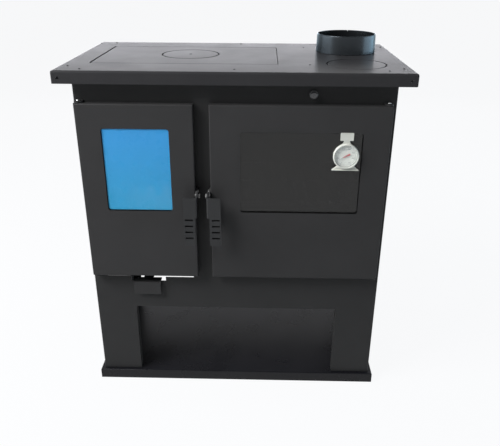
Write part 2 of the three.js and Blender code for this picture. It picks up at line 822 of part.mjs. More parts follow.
// The log guard: a cast plate with upright slots and a row of tapered teeth along its top.
function logGuard() {
  const [x0, x1] = [fireInner.x0 + seat, fireInner.x1 - seat];
  const z0 = grateFrameTop + seat;
  const shoulder = z0 + guardHeight - toothHeight;
  const pitch = (x1 - x0) / guardTeeth;
  const outline = [[x0, z0], [x1, z0], [x1, shoulder]];
  for (let tooth = guardTeeth - 1; tooth >= 0; tooth -= 1) {
    const middle = x0 + pitch * (tooth + 0.5);
    outline.push(
      [middle + toothFoot / 2, shoulder], [middle + toothTop / 2, shoulder + toothHeight - toothChamfer],
      [middle + toothTop / 2 - toothChamfer, shoulder + toothHeight],
      [middle - toothTop / 2 + toothChamfer, shoulder + toothHeight],
      [middle - toothTop / 2, shoulder + toothHeight - toothChamfer], [middle - toothFoot / 2, shoulder]);
  }
  outline.push([x0, shoulder]);
  const holes = [];
  for (let gap = 0; gap < guardTeeth; gap += 1) {
    const middle = x0 + pitch * (gap + 0.5);
    const foot = z0 + (guardHeight - toothHeight - guardSlotHeight) / 2;
    holes.push(rounded(
      middle - guardSlotWidth / 2, foot, middle + guardSlotWidth / 2, foot + guardSlotHeight,
      guardSlotWidth / 2 - sharpest, 2));
  }
  const start = sheet + doorFlange + guardFromFrame;
  return alongY(outline, start, start + guardThickness, holes);
}

const drawerBottom = doorBottom + drawerLift;
const drawerHalf = drawerWidth / 2;
const drawerDepth = fireRear - drawerRearSpace - drawerFromFront;

function ashDrawer() {
  const [x0, x1] = [grateX - drawerHalf, grateX + drawerHalf];
  const [y0, y1] = [drawerFromFront, drawerFromFront + drawerDepth];
  const z1 = drawerBottom + drawerHeight;
  const wall = drawerSheet;
  const pan = cut(
    alongZ(rounded(x0, y0, x1, y1, drawerCorner), drawerBottom, z1),
    alongZ(
      rounded(x0 + wall, y0 + wall, x1 - wall, y1 - wall, drawerCorner - wall), drawerBottom + wall, z1 + over));
  const hem = wall * 2;
  const rim = alongZ(
    rounded(x0, y0, x1, y1, drawerCorner), z1 - hem, z1,
    [rounded(x0 + hem, y0 + hem, x1 - hem, y1 - hem, drawerCorner - hem / 2)]);
  const half = drawerPullWidth / 2;
  const pull = alongX(
    [
      [y0 + wall / 2, z1 - wall], [y0 + wall / 2, z1], [y0 - drawerPull + drawerPullBend, z1],
      [y0 - drawerPull, z1 - drawerPullBend], [y0 - drawerPull, z1 - drawerPull],
      [y0 - drawerPull + wall, z1 - drawerPull], [y0 - drawerPull + wall, z1 - drawerPullBend],
      [y0 - drawerPull + drawerPullBend, z1 - wall],
    ],
    grateX - half, grateX + half);
  return join(pan, rim, pull);
}

// A runner for the ash drawer, folded so that it carries the drawer's edge and guides its side.
function ashRunner(side) {
  const edge = grateX + side * (drawerHalf + runnerSide);
  const web = edge + side * runnerSheet;
  const base = deckTop + seat;
  const shelf = drawerBottom - seat;
  const outline = [
    [edge - side * runnerShelf, shelf - runnerSheet], [edge, shelf - runnerSheet], [edge, base],
    [web + side * runnerFoot, base], [web + side * runnerFoot, base + runnerSheet], [web, base + runnerSheet],
    [web, drawerBottom + runnerGuide], [edge, drawerBottom + runnerGuide], [edge, shelf],
    [edge - side * runnerShelf, shelf],
  ];
  return alongY(outline, drawerFromFront - runnerLead, drawerFromFront + drawerDepth);
}

// ---------------------------------------------------------------------------------------------------------------
// Oven, flue divider and damper
// ---------------------------------------------------------------------------------------------------------------

const ovenInner = {
  x0: ovenOpening.x0 - flangeOut,
  x1: ovenOpening.x1 + flangeOut,
  z0: ovenOpening.z0 - flangeOut,
  z1: ovenOpening.z1 + flangeOut,
};
const ovenBack = bodyDepth - ovenRearSpace;
const rackPitch = (ovenInner.z1 - ovenInner.z0 - rackFirst - rackHeadroom) / (rackLevels - 1);
const rackDepth = ovenBack - rackRearSpace - rackFromFront;
const ovenBoxBottom = ovenInner.z0 - sheet;
const ovenBoxTop = ovenInner.z1 + sheet;

function ovenBox() {
  const { x0, x1, z0, z1 } = ovenInner;
  const corner = openingCorner + flangeOut;
  const outside = rounded(x0 - sheet, z0 - sheet, x1 + sheet, z1 + sheet, corner + sheet);
  const inside = rounded(x0, z0, x1, z1, corner);
  return cut(alongY(outside, frameRear, ovenBack), alongY(inside, frameRear - over, ovenBack - sheet));
}

// A hat-section bar on the deck that carries the oven box.
function ovenCleat(y) {
  const base = deckTop + seat;
  const top = ovenBoxBottom - seat;
  const half = cleatWidth / 2;
  const foot = half + cleatFoot;
  const outline = [
    [y - foot, base], [y - half + sheet, base], [y - half + sheet, top - sheet], [y + half - sheet, top - sheet],
    [y + half - sheet, base], [y + foot, base], [y + foot, base + sheet], [y + half, base + sheet],
    [y + half, top], [y - half, top], [y - half, base + sheet], [y - foot, base + sheet],
  ];
  return alongX(outline, ovenInner.x0 + cleatInset, ovenInner.x1 - cleatInset);
}

// A rack runner: a pressed ladder with a ledge for each level, standing off the oven wall on two flanges.
function rackRunner(side) {
  const wall = side > 0 ? ovenInner.x0 + seat : ovenInner.x1 - seat;
  const web = wall + side * rackRunnerStand;
  const face = web + side * rackRunnerSheet;
  const first = ovenInner.z0 + rackFirst;
  const z0 = first - rackPitch / 2;
  const z1 = first + rackPitch * (rackLevels - 0.5);
  const outline = [[wall, z0], [face, z0]];
  for (let level = 0; level < rackLevels; level += 1) {
    const ledge = first + rackPitch * level;
    outline.push(
      [face, ledge - rackRunnerSheet], [face + side * rackLedge, ledge - rackRunnerSheet],
      [face + side * rackLedge, ledge], [face, ledge]);
  }
  outline.push(
    [face, z1], [wall, z1], [wall, z1 - rackRunnerSheet], [web, z1 - rackRunnerSheet],
    [web, z0 + rackRunnerSheet], [wall, z0 + rackRunnerSheet]);
  return alongY(outline, sheet + doorFlange + rackRunnerEnd, ovenBack - sheet - rackRunnerEnd);
}

// The oven rack: a rod frame with bars across it, raised at the rear as a stop.
function ovenRack() {
  const inset = seat + rackRunnerStand + rackRunnerSheet + rackSideClear + rackWireRadius;
  const [x0, x1] = [ovenInner.x0 + inset, ovenInner.x1 - inset];
  const [y0, y1] = [rackFromFront + rackWireRadius, rackFromFront + rackDepth - rackWireRadius];
  const ledge = ovenInner.z0 + rackFirst + rackPitch * rackLevel;
  const z = ledge + seat + rackWireRadius;
  const wire = rackWireRadius;
  const sideRod = (x) => alongY(circle(x, z, wire, 8), y0 - wire, y1 + wire);
  const crossRod = (y, radius, lift) => alongX(circle(y, z + lift, radius, 8), x0, x1);
  const rods = [sideRod(x0), sideRod(x1), crossRod(y0, wire, 0), crossRod(y1, wire, 0)];
  const bars = rackBars;
  for (let bar = 1; bar <= bars; bar += 1) {
    const x = x0 + ((x1 - x0) * bar) / (bars + 1);
    rods.push(alongY(circle(x, z, rackBarRadius, 6), y0, y1));
  }
  rods.push(crossRod((y0 + y1) / 2, rackStretcherRadius, -rackStretcherDrop));
  return join(...rods);
}

const damperPlateX = rodX + rodRadius - plateWeld;
const dividerX = damperPlateX + plateSheet + dividerGap;

// The flue divider stands on the oven and makes the smoke go round it while the damper is pushed in.
function flueDivider() {
  const rear = bodyDepth - sheet - seat;
  const blank = alongX(
    rectangle(frameRear, ovenBoxTop + seat, rear, bodyTop), dividerX, dividerX + sheet,
    [rounded(
      plateFromFront + windowLap, rodZ - plateHeight / 2 + windowLap,
      plateFromFront + plateLength - windowLap, rodZ + plateHeight / 2 - windowLap, openingCorner)]);
  const start = plateFromFront - damperTravel - damperGuideLap;
  const end = plateFromFront + plateLength + damperGuideLap;
  const guide = (up) => {
    const near = rodZ + up * (plateHeight / 2 + seat);
    const far = near + up * sheet;
    const front = damperPlateX - dividerGap;
    const lip = front - sheet;
    const outline = [
      [dividerX + sheet / 2, near], [dividerX + sheet / 2, far], [lip, far], [lip, near - up * damperGuide],
      [front, near - up * damperGuide], [front, near],
    ];
    return alongY(outline, start, end);
  };
  const foot = box(
    dividerX, dividerX + dividerFoot, frameRear + dividerSetback, rear, ovenBoxTop + seat, ovenBoxTop + seat + sheet);
  return join(blank, guide(1), guide(-1), foot);
}

function damperSlide() {
  const plate = alongX(
    rounded(
      plateFromFront, rodZ - plateHeight / 2, plateFromFront + plateLength, rodZ + plateHeight / 2, plateCorner),
    damperPlateX, damperPlateX + plateSheet);
  const rod = alongY(circle(rodX, rodZ, rodRadius, 16), -knobGap, plateFromFront + plateLength - rodInset);
  return join(plate, rod);
}

function damperKnob() {
  const head = knobRadius - knobStep;
  const profile = [
    [0, 0], [knobRadius, 0], [knobRadius, knobCollar], [head, knobCollar + knobStep], [head, knobLength - knobRound],
    [head - knobRound / 3, knobLength - knobRound / 3], [head - knobRound, knobLength], [0, knobLength],
  ];
  return turnedForward(profile, rodX, -knobGap - seat, rodZ, 18);
}

// ---------------------------------------------------------------------------------------------------------------
// Cooking top
// ---------------------------------------------------------------------------------------------------------------

const cook = {
  x0: plateLeft + cookPlateSide,
  x1: plateLeft + cookPlateSide + cookPlateWidth,
  y0: plateFront + cookPlateFront,
  y1: plateFront + cookPlateFront + cookPlateDepth,
};
const lidCentre = [plateLeft + lidFromLeft, plateFront + lidFromFront];
const coverCentre = [plateRight - coverFromRight, plateFront + coverFromFront];
const collarCentre = [plateRight - collarFromRight, plateRear - collarFromRear];
const collarBore = collarBaseRadius - collarWall - collarFoot;

function cookOutline(offset, play = 0) {
  const corner = Math.max(cookPlateCorner + offset, sharpest);
  return rounded(cook.x0 - offset - play, cook.y0 - offset, cook.x1 + offset, cook.y1 + offset, corner);
}

function topPlate() {
  const pan = foldedPan(plateLeft, plateRight, plateFront, plateRear, skirtBottom, cookTop, topSheet, topBend);
  const holeZ = cookTop - railHoleDrop;
  const railHole = (x) => alongY(circle(x, holeZ, railHoleRadius, 16), plateFront - over, plateFront + topSheet + over);
  return cut(
    pan,
    alongZ(cookOutline(cookPlateGap, cookPlatePlay), skirtBottom, cookTop + over),
    alongZ(circle(...coverCentre, coverRadius + coverGap, 40), skirtBottom, cookTop + over),
    alongZ(circle(...collarCentre, collarBore, 40), skirtBottom, cookTop + over),
    railHole(plateLeft + railHoleInset),
    railHole(plateRight - railHoleInset));
}

// An angle frame welded under the top plate; the cooking plate lies on it.
function cookPlateLedge() {
  const level = cookTop - cookPlateThickness - seat;
  const inner = cookPlateGap + ledgeStandoff;
  const outer = cookOutline(inner + ledgeSheet, cookPlatePlay);
  const shelf = alongZ(outer, level - ledgeSheet, level, [cookOutline(-ledgeWidth).reverse()]);
  const wall = alongZ(outer, level - ledgeSheet / 2, bodyTop, [cookOutline(inner, cookPlatePlay).reverse()]);
  return join(shelf, wall);
}

// The cooking plate has a stepped opening for the burner lid and stiffening ribs underneath.
function cookPlate() {
  const low = cookTop - cookPlateThickness;
  const blank = alongZ(cookOutline(0), low, cookTop);
  const step = cookTop - lidThickness - seat;
  return cut(
    blank,
    alongZ(circle(...lidCentre, lidRadius + lidGap, 40), step, cookTop + over),
    alongZ(circle(...lidCentre, lidRadius - lidStep, 32), low - over, cookTop + over));
}

function burnerLid() {
  const low = cookTop - lidThickness;
  const disc = alongZ(circle(...lidCentre, lidRadius, 40), low, cookTop, [circle(...lidCentre, lidHoleRadius, 12)]);
  const rib = lidRadius - lidStep - lidRibGap;
  const ring = alongZ(
    circle(...lidCentre, rib, 32), low - lidRibDepth, low + lidThickness / 2,
    [circle(...lidCentre, rib - lidRibWidth, 32)]);
  return join(disc, ring);
}

function coverLedge() {
  const level = cookTop - coverThickness - seat;
  const [x, y] = coverCentre;
  const inner = coverRadius + coverGap + ledgeStandoff;
  const outer = inner + ledgeSheet;
  const rise = bodyTop - level;
  const profile = [
    [coverRadius - ledgeWidth, -ledgeSheet], [outer, -ledgeSheet], [outer, rise],
    [inner, rise], [inner, 0], [coverRadius - ledgeWidth, 0],
  ];
  return turned([...profile, profile[0]], x, y, level, 36);
}

function roundCover() {
  return alongZ(circle(...coverCentre, coverRadius, 40), cookTop - coverThickness, cookTop);
}

// The flue collar narrows upwards and stands on an inward flange; its mouth is rolled.
function flueCollar() {
  const [x, y] = collarCentre;
  const profile = [
    [collarBore, 0], [collarBaseRadius, 0], [collarBaseRadius, 6], [collarTopRadius, collarHeight - 1],
    [collarTopRadius - 0.7, collarHeight], [collarTopRadius - collarWall + 0.7, collarHeight],
    [collarTopRadius - collarWall, collarHeight - 1], [collarBaseRadius - collarWall, 6],
    [collarBaseRadius - collarWall, collarWall], [collarBore, collarWall],
  ];
  return turned([...profile, profile[0]], x, y, cookTop + seat, 40);
}

// ---------------------------------------------------------------------------------------------------------------
// Doors
// ---------------------------------------------------------------------------------------------------------------

// Everything a door's pieces need: its outline, its hinge and latch side, its window and its latch.
function doorPlan(x0, x1, hingeLeft, window, latch) {
  const hingeEdge = hingeLeft ? x0 : x1;
  const inward = hingeLeft ? 1 : -1;
  const near = hingeEdge + inward * window.fromHinge;
  const far = near + inward * window.width;
  return {
    x0, x1, inward, hingeEdge, latch,
    pinX: hingeEdge + inward * hingeInset,
    window: {
      x0: Math.min(near, far),
      x1: Math.max(near, far),
      z0: doorTop - window.fromTop - window.height,
      z1: doorTop - window.fromTop,
    },
  };
}

const fireDoor = doorPlan(fireLeft, fireRight, true, fireWindow, fireLatch);
const ovenDoor = doorPlan(ovenLeft, ovenRight, false, ovenWindow, ovenLatch);

function windowOutline(door, offset) {
  const { x0, x1, z0, z1 } = door.window;
  return rounded(x0 - offset, z0 - offset, x1 + offset, z1 + offset, Math.max(windowCorner + offset, sharpest));
}

// A door panel is a pan folded back at all four edges. Its flanges are bored for the hinge pins and the latch bolt.
function doorPanel(door) {
  const { x0, x1 } = door;
  const across = arch(x0, x1, doorFront, doorRear, bend).map(([u, v]) => [u, doorFront + doorRear - v]);
  const upright = (inset) => {
    const [z0, z1] = [doorBottom + inset, doorTop - inset];
    const radius = Math.max(bend - inset, sharpest);
    return [
      [doorRear + inset, z0], [doorRear + inset, z1], ...arc(doorFront + inset + radius, z1 - radius, radius, 90, 180, 4),
      ...arc(doorFront + inset + radius, z0 + radius, radius, 180, 270, 4),
    ];
  };
  const outside = alongZ(across, doorBottom, doorTop).intersect(alongX(upright(0), x0, x1));
  const innerRadius = Math.max(bend - doorSheet, sharpest);
  const hollow = arch(x0 + doorSheet, x1 - doorSheet, doorFront + doorSheet, doorRear + doorSheet, innerRadius)
    .map(([u, v]) => [u, doorFront + doorRear + 2 * doorSheet - v]);
  const inside = alongZ(hollow, doorBottom + doorSheet, doorTop - doorSheet);
  const relief = (z, up) => {
    const edge = door.hingeEdge - door.inward * over;
    const far = door.hingeEdge + door.inward * cornerRelief;
    const corner = [[edge, z + up], [far, z + up], [far, z], [door.hingeEdge, z - up * cornerRelief],
      [edge, z - up * cornerRelief]];
    return alongY(corner, doorFront - over, doorFront + doorSheet);
  };
  const pinHole = alongZ(
    circle(door.pinX, hingeY, pinRadius + pinClear, 20), doorBottom - over, doorTop + over);
  const [b0, b1] = span(door.latch, -doorSheet - over, over);
  const boltHole = alongX(circle(latchY, latchZ, boltRadius + boltClear, 20), b0, b1);
  return cut(
    outside, inside, alongY(windowOutline(door, 0), doorFront - over, doorFront + doorSheet + over),
    relief(doorTop, 1), relief(doorBottom, -1), pinHole, boltHole);
}

// The liner closes the door from behind and holds the glass against the panel with its folded rim.
function doorLiner(door) {
  const rear = doorRear - seat;
  const inset = doorSheet + seat;
  const flat = alongY(
    rounded(door.x0 + inset, doorBottom + inset, door.x1 - inset, doorTop - inset, 2), rear - linerSheet, rear,
    [windowOutline(door, linerRim)]);
  const rim = alongY(
    windowOutline(door, linerRim + linerSheet), doorFront + doorSheet + seat + glassThickness + seat, rear - linerSheet / 2,
    [windowOutline(door, linerRim)]);
  return join(flat, rim);
}

function doorGlass(door) {
  const front = doorFront + doorSheet + seat;
  return alongY(windowOutline(door, glassLap), front, front + glassThickness);
}

function glassFilm(door) {
  const rear = doorFront + doorSheet;
  return alongY(windowOutline(door, -filmInset), rear - filmThickness, rear);
}

// The rope seal lies round the liner and is pressed against the front frame.
function doorSeal(door) {
  const outer = (inset, radius) => rounded(
    door.x0 + inset, doorBottom + inset, door.x1 - inset, doorTop - inset, radius, 2);
  const half = sealWidth / 2;
  const depth = doorClear - 2 * seat;
  const ring = (spread, y0, y1) => alongY(
    outer(sealInset + half - spread, 10 + spread), y0, y1, [outer(sealInset + half + spread, 10 - spread)]);
  const rear = -seat;
  return join(
    ring(half, rear - depth * 0.75, rear - depth * 0.25),
    ring(half * 0.6, rear - depth, rear));
}

function hingeLug(door, up) {
  const edge = up > 0 ? doorTop + lugGap : doorBottom - lugGap;
  const far = edge + up * lugSheet;
  const plan = [
    [door.pinX - lugRadius, -seat], ...arc(door.pinX, hingeY, lugRadius, 180, 360, 10), [door.pinX + lugRadius, -seat],
  ];
  const lug = alongZ(plan, Math.min(edge, far), Math.max(edge, far));
  const tip = edge - up * pinLength;
  const root = far + up * pinHead;
  const pin = alongZ(circle(door.pinX, hingeY, pinRadius, 20), Math.min(tip, root), Math.max(tip, root));
  return join(lug, pin);
}

// ---------------------------------------------------------------------------------------------------------------
// Latches
// ---------------------------------------------------------------------------------------------------------------

const hookInner = hookGap + hookSheet; // door edge to the far face of the hook
const armInner = hookInner + seat; // door edge to the near face of the handle's arm
const armOuter = armInner + handleSheet;

function across(place, from, to, outline, holes = []) {
  const [x0, x1] = span(place, from, to);
  return alongX(outline, x0, x1, holes);
}

// The zinc-plated hook turns on the latch bolt, reaches through the post and catches behind it.
function latchHook(place) {
  const end = latchY + hookReach;
  const nose = end - hookNoseLength;
  const half = hookArm / 2;
  const [studY, studZ] = [latchY - studForward, latchZ - studDrop];
  const outline = [
    [latchY, latchZ - hookEye], [latchY + hookEye, latchZ - half], [end - hookChamfer, latchZ - half],
    [end, latchZ - half + hookChamfer], [end, latchZ + half + hookNose - hookCorner],
    [end - hookCorner, latchZ + half + hookNose], [nose + hookChamfer, latchZ + half + hookNose],
    [nose, latchZ + half + hookNose - hookChamfer], [nose, latchZ + half], [latchY + hookEye, latchZ + half],
    [latchY + boltRadius, latchZ + hookEye], ...arc(studY, studZ, hookStudEye, 80, 260, 6),
  ];
  const bore = circle(latchY, latchZ, boltRadius + boltClear, 20);
  const plate = across(place, hookGap, hookInner, outline, [bore]);
  const stud = across(place, hookInner - over, armOuter + over, circle(studY, studZ, boltRadius, 16));
  const nut = across(place, armOuter + seat, armOuter + seat + nutHeight, circle(studY, studZ, nutRadius, 6));
  return join(plate, stud, nut);
}

// The bolt that the latch turns on goes through the door's edge.
function latchBolt(place) {
  const shaft = across(
    place, -doorSheet - boltInside, hookInner + seat + boltHead / 2, circle(latchY, latchZ, boltRadius, 20));
  const inside = across(
    place, -doorSheet - boltInside, -doorSheet - seat, circle(latchY, latchZ, boltHeadRadius, 6));
  const outside = across(
    place, hookInner + seat, hookInner + seat + boltHead, circle(latchY, latchZ, boltHeadRadius, 20));
  return join(shaft, inside, outside);
}

// The handle: a folded plate with a perforated grip, whose arm is bolted to the hook.
function latchHandle(place) {
  const front = doorFront - handleStand;
  const top = latchZ + handleTop;
  const shoulder = top - handleHead;
  const low = shoulder - handleGrip;
  const inward = armOuter - handleWidth;
  const grip = armOuter - handleStep;
  const side = place.side;
  const face = [
    [place.at(inward), low + handleCorner], [place.at(inward + handleCorner), low],
    [place.at(grip - handleCorner), low], [place.at(grip), low + handleCorner],
    [place.at(grip), shoulder], [place.at(armOuter - handleBend), shoulder], [place.at(armOuter - handleBend), top],
    [place.at(inward + handleCorner), top], [place.at(inward), top - handleCorner],
  ];
  const slots = [];
  for (let row = 0; row < gripSlots; row += 1) {
    const x = place.at(inward + gripSlotInset + gripSlotLength / 2);
    slots.push(slot(x, shoulder - gripSlotDrop - row * gripSlotPitch, gripSlotLength, gripSlotHeight, 2));
  }
  const plate = alongY(face, front, front + handleSheet, slots);
  const centre = [place.at(armOuter - handleBend), front + handleBend];
  const inner = handleBend - handleSheet;
  const [from, to] = side > 0 ? [270, 360] : [270, 180];
  const fold = alongZ(
    [...arc(...centre, handleBend, from, to, 4), ...arc(...centre, inner, to, from, 3)], shoulder, top);
  const [studY, studZ] = [latchY - studForward, latchZ - studDrop];
  const arm = [
    [front + handleBend, shoulder], [front + handleBend + armShoulder, shoulder],
    ...arc(studY, studZ, armEye, -75, 110, 7), [front + handleBend, top],
  ];
  const plateArm = across(place, armInner, armOuter, arm, [circle(studY, studZ, boltRadius + boltClear, 16)]);
  return join(plate, fold, plateArm);
}

// ---------------------------------------------------------------------------------------------------------------
// Oven thermometer
// ---------------------------------------------------------------------------------------------------------------

const dialX = ovenRight - dialFromEdge;
const dialZ = doorTop - dialFromTop;
const caseY = doorFront - seat;

// The stamped case: a cup with a rolled bezel, a hanging tab above and a foot below.
function thermometerCase() {
  const rim = caseRadius - caseWall;
  const profile = [
    [0, 0], [caseRadius - 2, 0], [caseRadius, 2], [caseRadius, caseDepth - 1], [caseRadius - 1, caseDepth],
    [caseRadius - bezelWidth, caseDepth], [caseRadius - bezelWidth, caseDepth - 0.8], [rim, caseDepth - 0.8],
    [rim, 2.6], [rim - 1.4, caseWall], [0, caseWall],
  ];
  const cup = turnedForward(profile, dialX, caseY, dialZ, 36);
  const [tab, neck] = [tabWidth / 2, neckWidth / 2];
  const hanger = [
    [dialX - neck, dialZ], [dialX + neck, dialZ], [dialX + neck, dialZ + tabBottom],
    [dialX + tab - 2, dialZ + tabBottom], [dialX + tab, dialZ + tabBottom + 2], [dialX + tab, dialZ + tabTop],
    [dialX - tab, dialZ + tabTop], [dialX - tab, dialZ + tabBottom + 2], [dialX - tab + 2, dialZ + tabBottom],
    [dialX - neck, dialZ + tabBottom],
  ];
  const foot = [
    [dialX - footTopWidth / 2, dialZ - footTop + 12], [dialX - footTopWidth / 2, dialZ - footTop],
    [dialX - footWidth / 2, dialZ - footBottom], [dialX + footWidth / 2, dialZ - footBottom],
    [dialX + footTopWidth / 2, dialZ - footTop], [dialX + footTopWidth / 2, dialZ - footTop + 12],
  ];
  const back = (outline) => alongY(outline, caseY - caseWall, caseY);
  const hollow = alongY(
    circle(dialX, dialZ, caseRadius - caseWall - 1.5, 40), caseY - caseDepth, caseY - caseWall);
  return cut(join(cup, back(hanger), back(foot)), hollow);
}

const dialBack = caseY - caseWall - seat;
const dialFace = dialBack - dialThickness;

function thermometerDial() {
  const radius = caseRadius - caseWall - 2.2;
  const spindle = spindleHeight + pointerThickness;
  const profile = [
    [0, 0], [radius, 0], [radius, dialThickness], [spindleRadius, dialThickness],
    [spindleRadius, dialThickness + spindle], [0, dialThickness + spindle],
  ];
  return turnedForward(profile, dialX, dialBack, dialZ, 40);
}

function thermometerLens() {
  const radius = caseRadius - caseWall - seat;
  const front = caseY - caseDepth + 0.8 + seat;
  return alongY(circle(dialX, dialZ, radius, 40), front, front + lensThickness);
}

function thermometerPointer() {
  const hub = pointerHalf * 1.9;
  const flat = [
    [-pointerTail, -pointerHalf], ...arc(0, 0, hub, 235, 305, 3), [pointerLength * 0.45, -pointerHalf],
    [pointerLength * 0.5, -0.6], [pointerLength, -0.25], [pointerLength, 0.25], [pointerLength * 0.5, 0.6],
    [pointerLength * 0.45, pointerHalf], ...arc(0, 0, hub, 55, 125, 3), [-pointerTail, pointerHalf],
  ];
  const angle = pointerAngle * turn;
  const place = ([u, v]) => [
    dialX + u * Math.cos(angle) - v * Math.sin(angle), dialZ + u * Math.sin(angle) + v * Math.cos(angle)];
  const front = dialFace - spindleHeight + lensGap - pointerThickness;
  return alongY(
    flat.map(place), front, front + pointerThickness, [circle(dialX, dialZ, spindleRadius + 0.1, 12).reverse()]);
}

// ---------------------------------------------------------------------------------------------------------------
// Assembly
// ---------------------------------------------------------------------------------------------------------------

const stove = new THREE.Group();
stove.userData.pivot = [0, 0, 0];
stove.position.y = -footprintMiddle;

stove.add(
  piece('base_plinth', basePlinth(), blackPaint()),
  piece('front_frame', frontFrame(), blackPaint()),
  piece('side_panel_left', sidePanel(-1), blackPaint()),
  piece('side_panel_right', sidePanel(1), blackPaint()),
  piece('back_panel', backPanel(), blackPaint()),
  piece('deck_plate', deckPlate(), rawSteel()),
  piece('air_inlet_guide', airInletGuide(), rawSteel()),
  piece('top_plate', topPlate(), topSteel()),
  piece('cook_plate_ledge', cookPlateLedge(), rawSteel()),
  piece('cover_ledge', coverLedge(), rawSteel()),
  piece('flue_collar', flueCollar(), blackPaint()));

stove.add(
  piece('firebox_shell', fireboxShell(), rawSteel()),
  piece('grate_frame', grateFrame(), castIron()),
  piece('fire_grate', fireGrate(), castIron()),
  piece('firebrick_left_front', sideBrick(1, 0), brick()),
  piece('firebrick_left_rear', sideBrick(1, 1), brick()),
  piece('firebrick_right_front', sideBrick(-1, 0), brick()),
  piece('firebrick_right_rear', sideBrick(-1, 1), brick()),
  piece('firebrick_back', backBrick(), brick()),
  piece('log_guard', logGuard(), castIron()),
  piece('ash_runner_left', ashRunner(-1), rawSteel()),
  piece('ash_runner_right', ashRunner(1), rawSteel()));

stove.add(
  piece('oven_box', ovenBox(), rawSteel()),
  piece('oven_cleat_front', ovenCleat(cleatFromEnd), rawSteel()),
  piece('oven_cleat_rear', ovenCleat(ovenBack - cleatFromEnd), rawSteel()),
  piece('rack_runner_left', rackRunner(1), stainless()),
  piece('rack_runner_right', rackRunner(-1), stainless()),
  piece('flue_divider', flueDivider(), rawSteel()));

stove.add(
  piece('fire_hinge_top', hingeLug(fireDoor, 1), blackPaint()),
  piece('fire_hinge_bottom', hingeLug(fireDoor, -1), blackPaint()),
  piece('oven_hinge_top', hingeLug(ovenDoor, 1), blackPaint()),
  piece('oven_hinge_bottom', hingeLug(ovenDoor, -1), blackPaint()));

const fireDoorGroup = moving(stove, [fireDoor.pinX, hingeY, doorBottom], [
  piece('fire_door_panel', doorPanel(fireDoor), blackPaint()),
  piece('fire_door_liner', doorLiner(fireDoor), blackPaint()),
  piece('fire_door_glass', doorGlass(fireDoor), darkGlass()),
  piece('fire_door_film', glassFilm(fireDoor), blueFilm()),
  piece('fire_door_seal', doorSeal(fireDoor), rope()),
  piece('fire_latch_bolt', latchBolt(fireLatch), zinc()),
]);

moving(fireDoorGroup, [fireRight, latchY, latchZ], [
  piece('fire_latch_hook', latchHook(fireLatch), zinc()),
  piece('fire_latch_handle', latchHandle(fireLatch), blackPaint()),
]);

const ovenDoorGroup = moving(stove, [ovenDoor.pinX, hingeY, doorBottom], [
  piece('oven_door_panel', doorPanel(ovenDoor), blackPaint()),
  piece('oven_door_liner', doorLiner(ovenDoor), blackPaint()),
  piece('oven_door_glass', doorGlass(ovenDoor), darkGlass()),
  piece('oven_door_seal', doorSeal(ovenDoor), rope()),
  piece('oven_latch_bolt', latchBolt(ovenLatch), zinc()),
  piece('thermometer_case', thermometerCase(), stainless()),
  piece('thermometer_dial', thermometerDial(), dialWhite()),
  piece('thermometer_lens', thermometerLens(), darkGlass()),
]);

moving(ovenDoorGroup, [ovenLeft, latchY, latchZ], [
  piece('oven_latch_hook', latchHook(ovenLatch), zinc()),
  piece('oven_latch_handle', latchHandle(ovenLatch), blackPaint()),
]);

moving(ovenDoorGroup, [dialX, caseY, dialZ], [
  piece('thermometer_pointer', thermometerPointer(), pointerRed()),
]);

const cookPlateGroup = moving(stove, [...lidCentre, cookTop], [piece('cook_plate', cookPlate(), castIron())]);
moving(cookPlateGroup, [...lidCentre, cookTop], [piece('burner_lid', burnerLid(), castIron())]);
moving(stove, [...coverCentre, cookTop], [piece('round_cover', roundCover(), topSteel())]);
moving(stove, [fireLeft + tabCentre, 0, doorBottom], [piece('air_slide', airSlide(), blackPaint())]);
moving(stove, [rodX, 0, rodZ], [
  piece('damper_slide', damperSlide(), rawSteel()),
  piece('damper_knob', damperKnob(), blackPaint()),
]);
moving(stove, [grateX, drawerFromFront, drawerBottom], [piece('ash_drawer', ashDrawer(), rawSteel())]);
moving(stove, [ovenInner.x0, rackFromFront, ovenInner.z0], [piece('oven_rack', ovenRack(), stainless())]);

export default stove;
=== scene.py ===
"""Looks of the wood cookstove: finishes, broken edges, cooking top, door details, thermometer, stage and light.

Metres, X to the right, Y towards the back, Z up, with the CAD part's own origin.
"""

import json
import math

import bpy
from mathutils import Matrix, Vector


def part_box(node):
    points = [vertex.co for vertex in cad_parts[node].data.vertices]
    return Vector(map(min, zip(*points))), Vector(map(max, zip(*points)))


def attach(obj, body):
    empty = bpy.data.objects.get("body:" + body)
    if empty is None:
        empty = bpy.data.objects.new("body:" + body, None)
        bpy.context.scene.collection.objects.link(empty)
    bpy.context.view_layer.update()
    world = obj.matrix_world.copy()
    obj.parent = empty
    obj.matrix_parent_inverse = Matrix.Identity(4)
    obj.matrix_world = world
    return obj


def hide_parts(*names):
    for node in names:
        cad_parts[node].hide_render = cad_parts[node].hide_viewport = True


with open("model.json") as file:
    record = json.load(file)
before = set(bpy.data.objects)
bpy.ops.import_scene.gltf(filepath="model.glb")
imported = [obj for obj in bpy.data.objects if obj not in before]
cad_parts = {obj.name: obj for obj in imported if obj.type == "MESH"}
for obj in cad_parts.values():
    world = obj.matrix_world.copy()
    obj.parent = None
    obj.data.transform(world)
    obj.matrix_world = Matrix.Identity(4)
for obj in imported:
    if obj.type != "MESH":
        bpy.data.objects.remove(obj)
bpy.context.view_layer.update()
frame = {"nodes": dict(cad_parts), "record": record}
scene = bpy.context.scene
MM = 0.001


# ---------------------------------------------------------------------------------------------------------------
# Workshop helpers
# ---------------------------------------------------------------------------------------------------------------

def deselect():
    """Leaves nothing selected, so that the next operator works on its own piece alone."""
    bpy.ops.object.select_all(action="DESELECT")


def take(piece):
    """Makes a piece the only selected and the active one."""
    deselect()
    piece.select_set(True)
    bpy.context.view_layer.objects.active = piece
    return piece


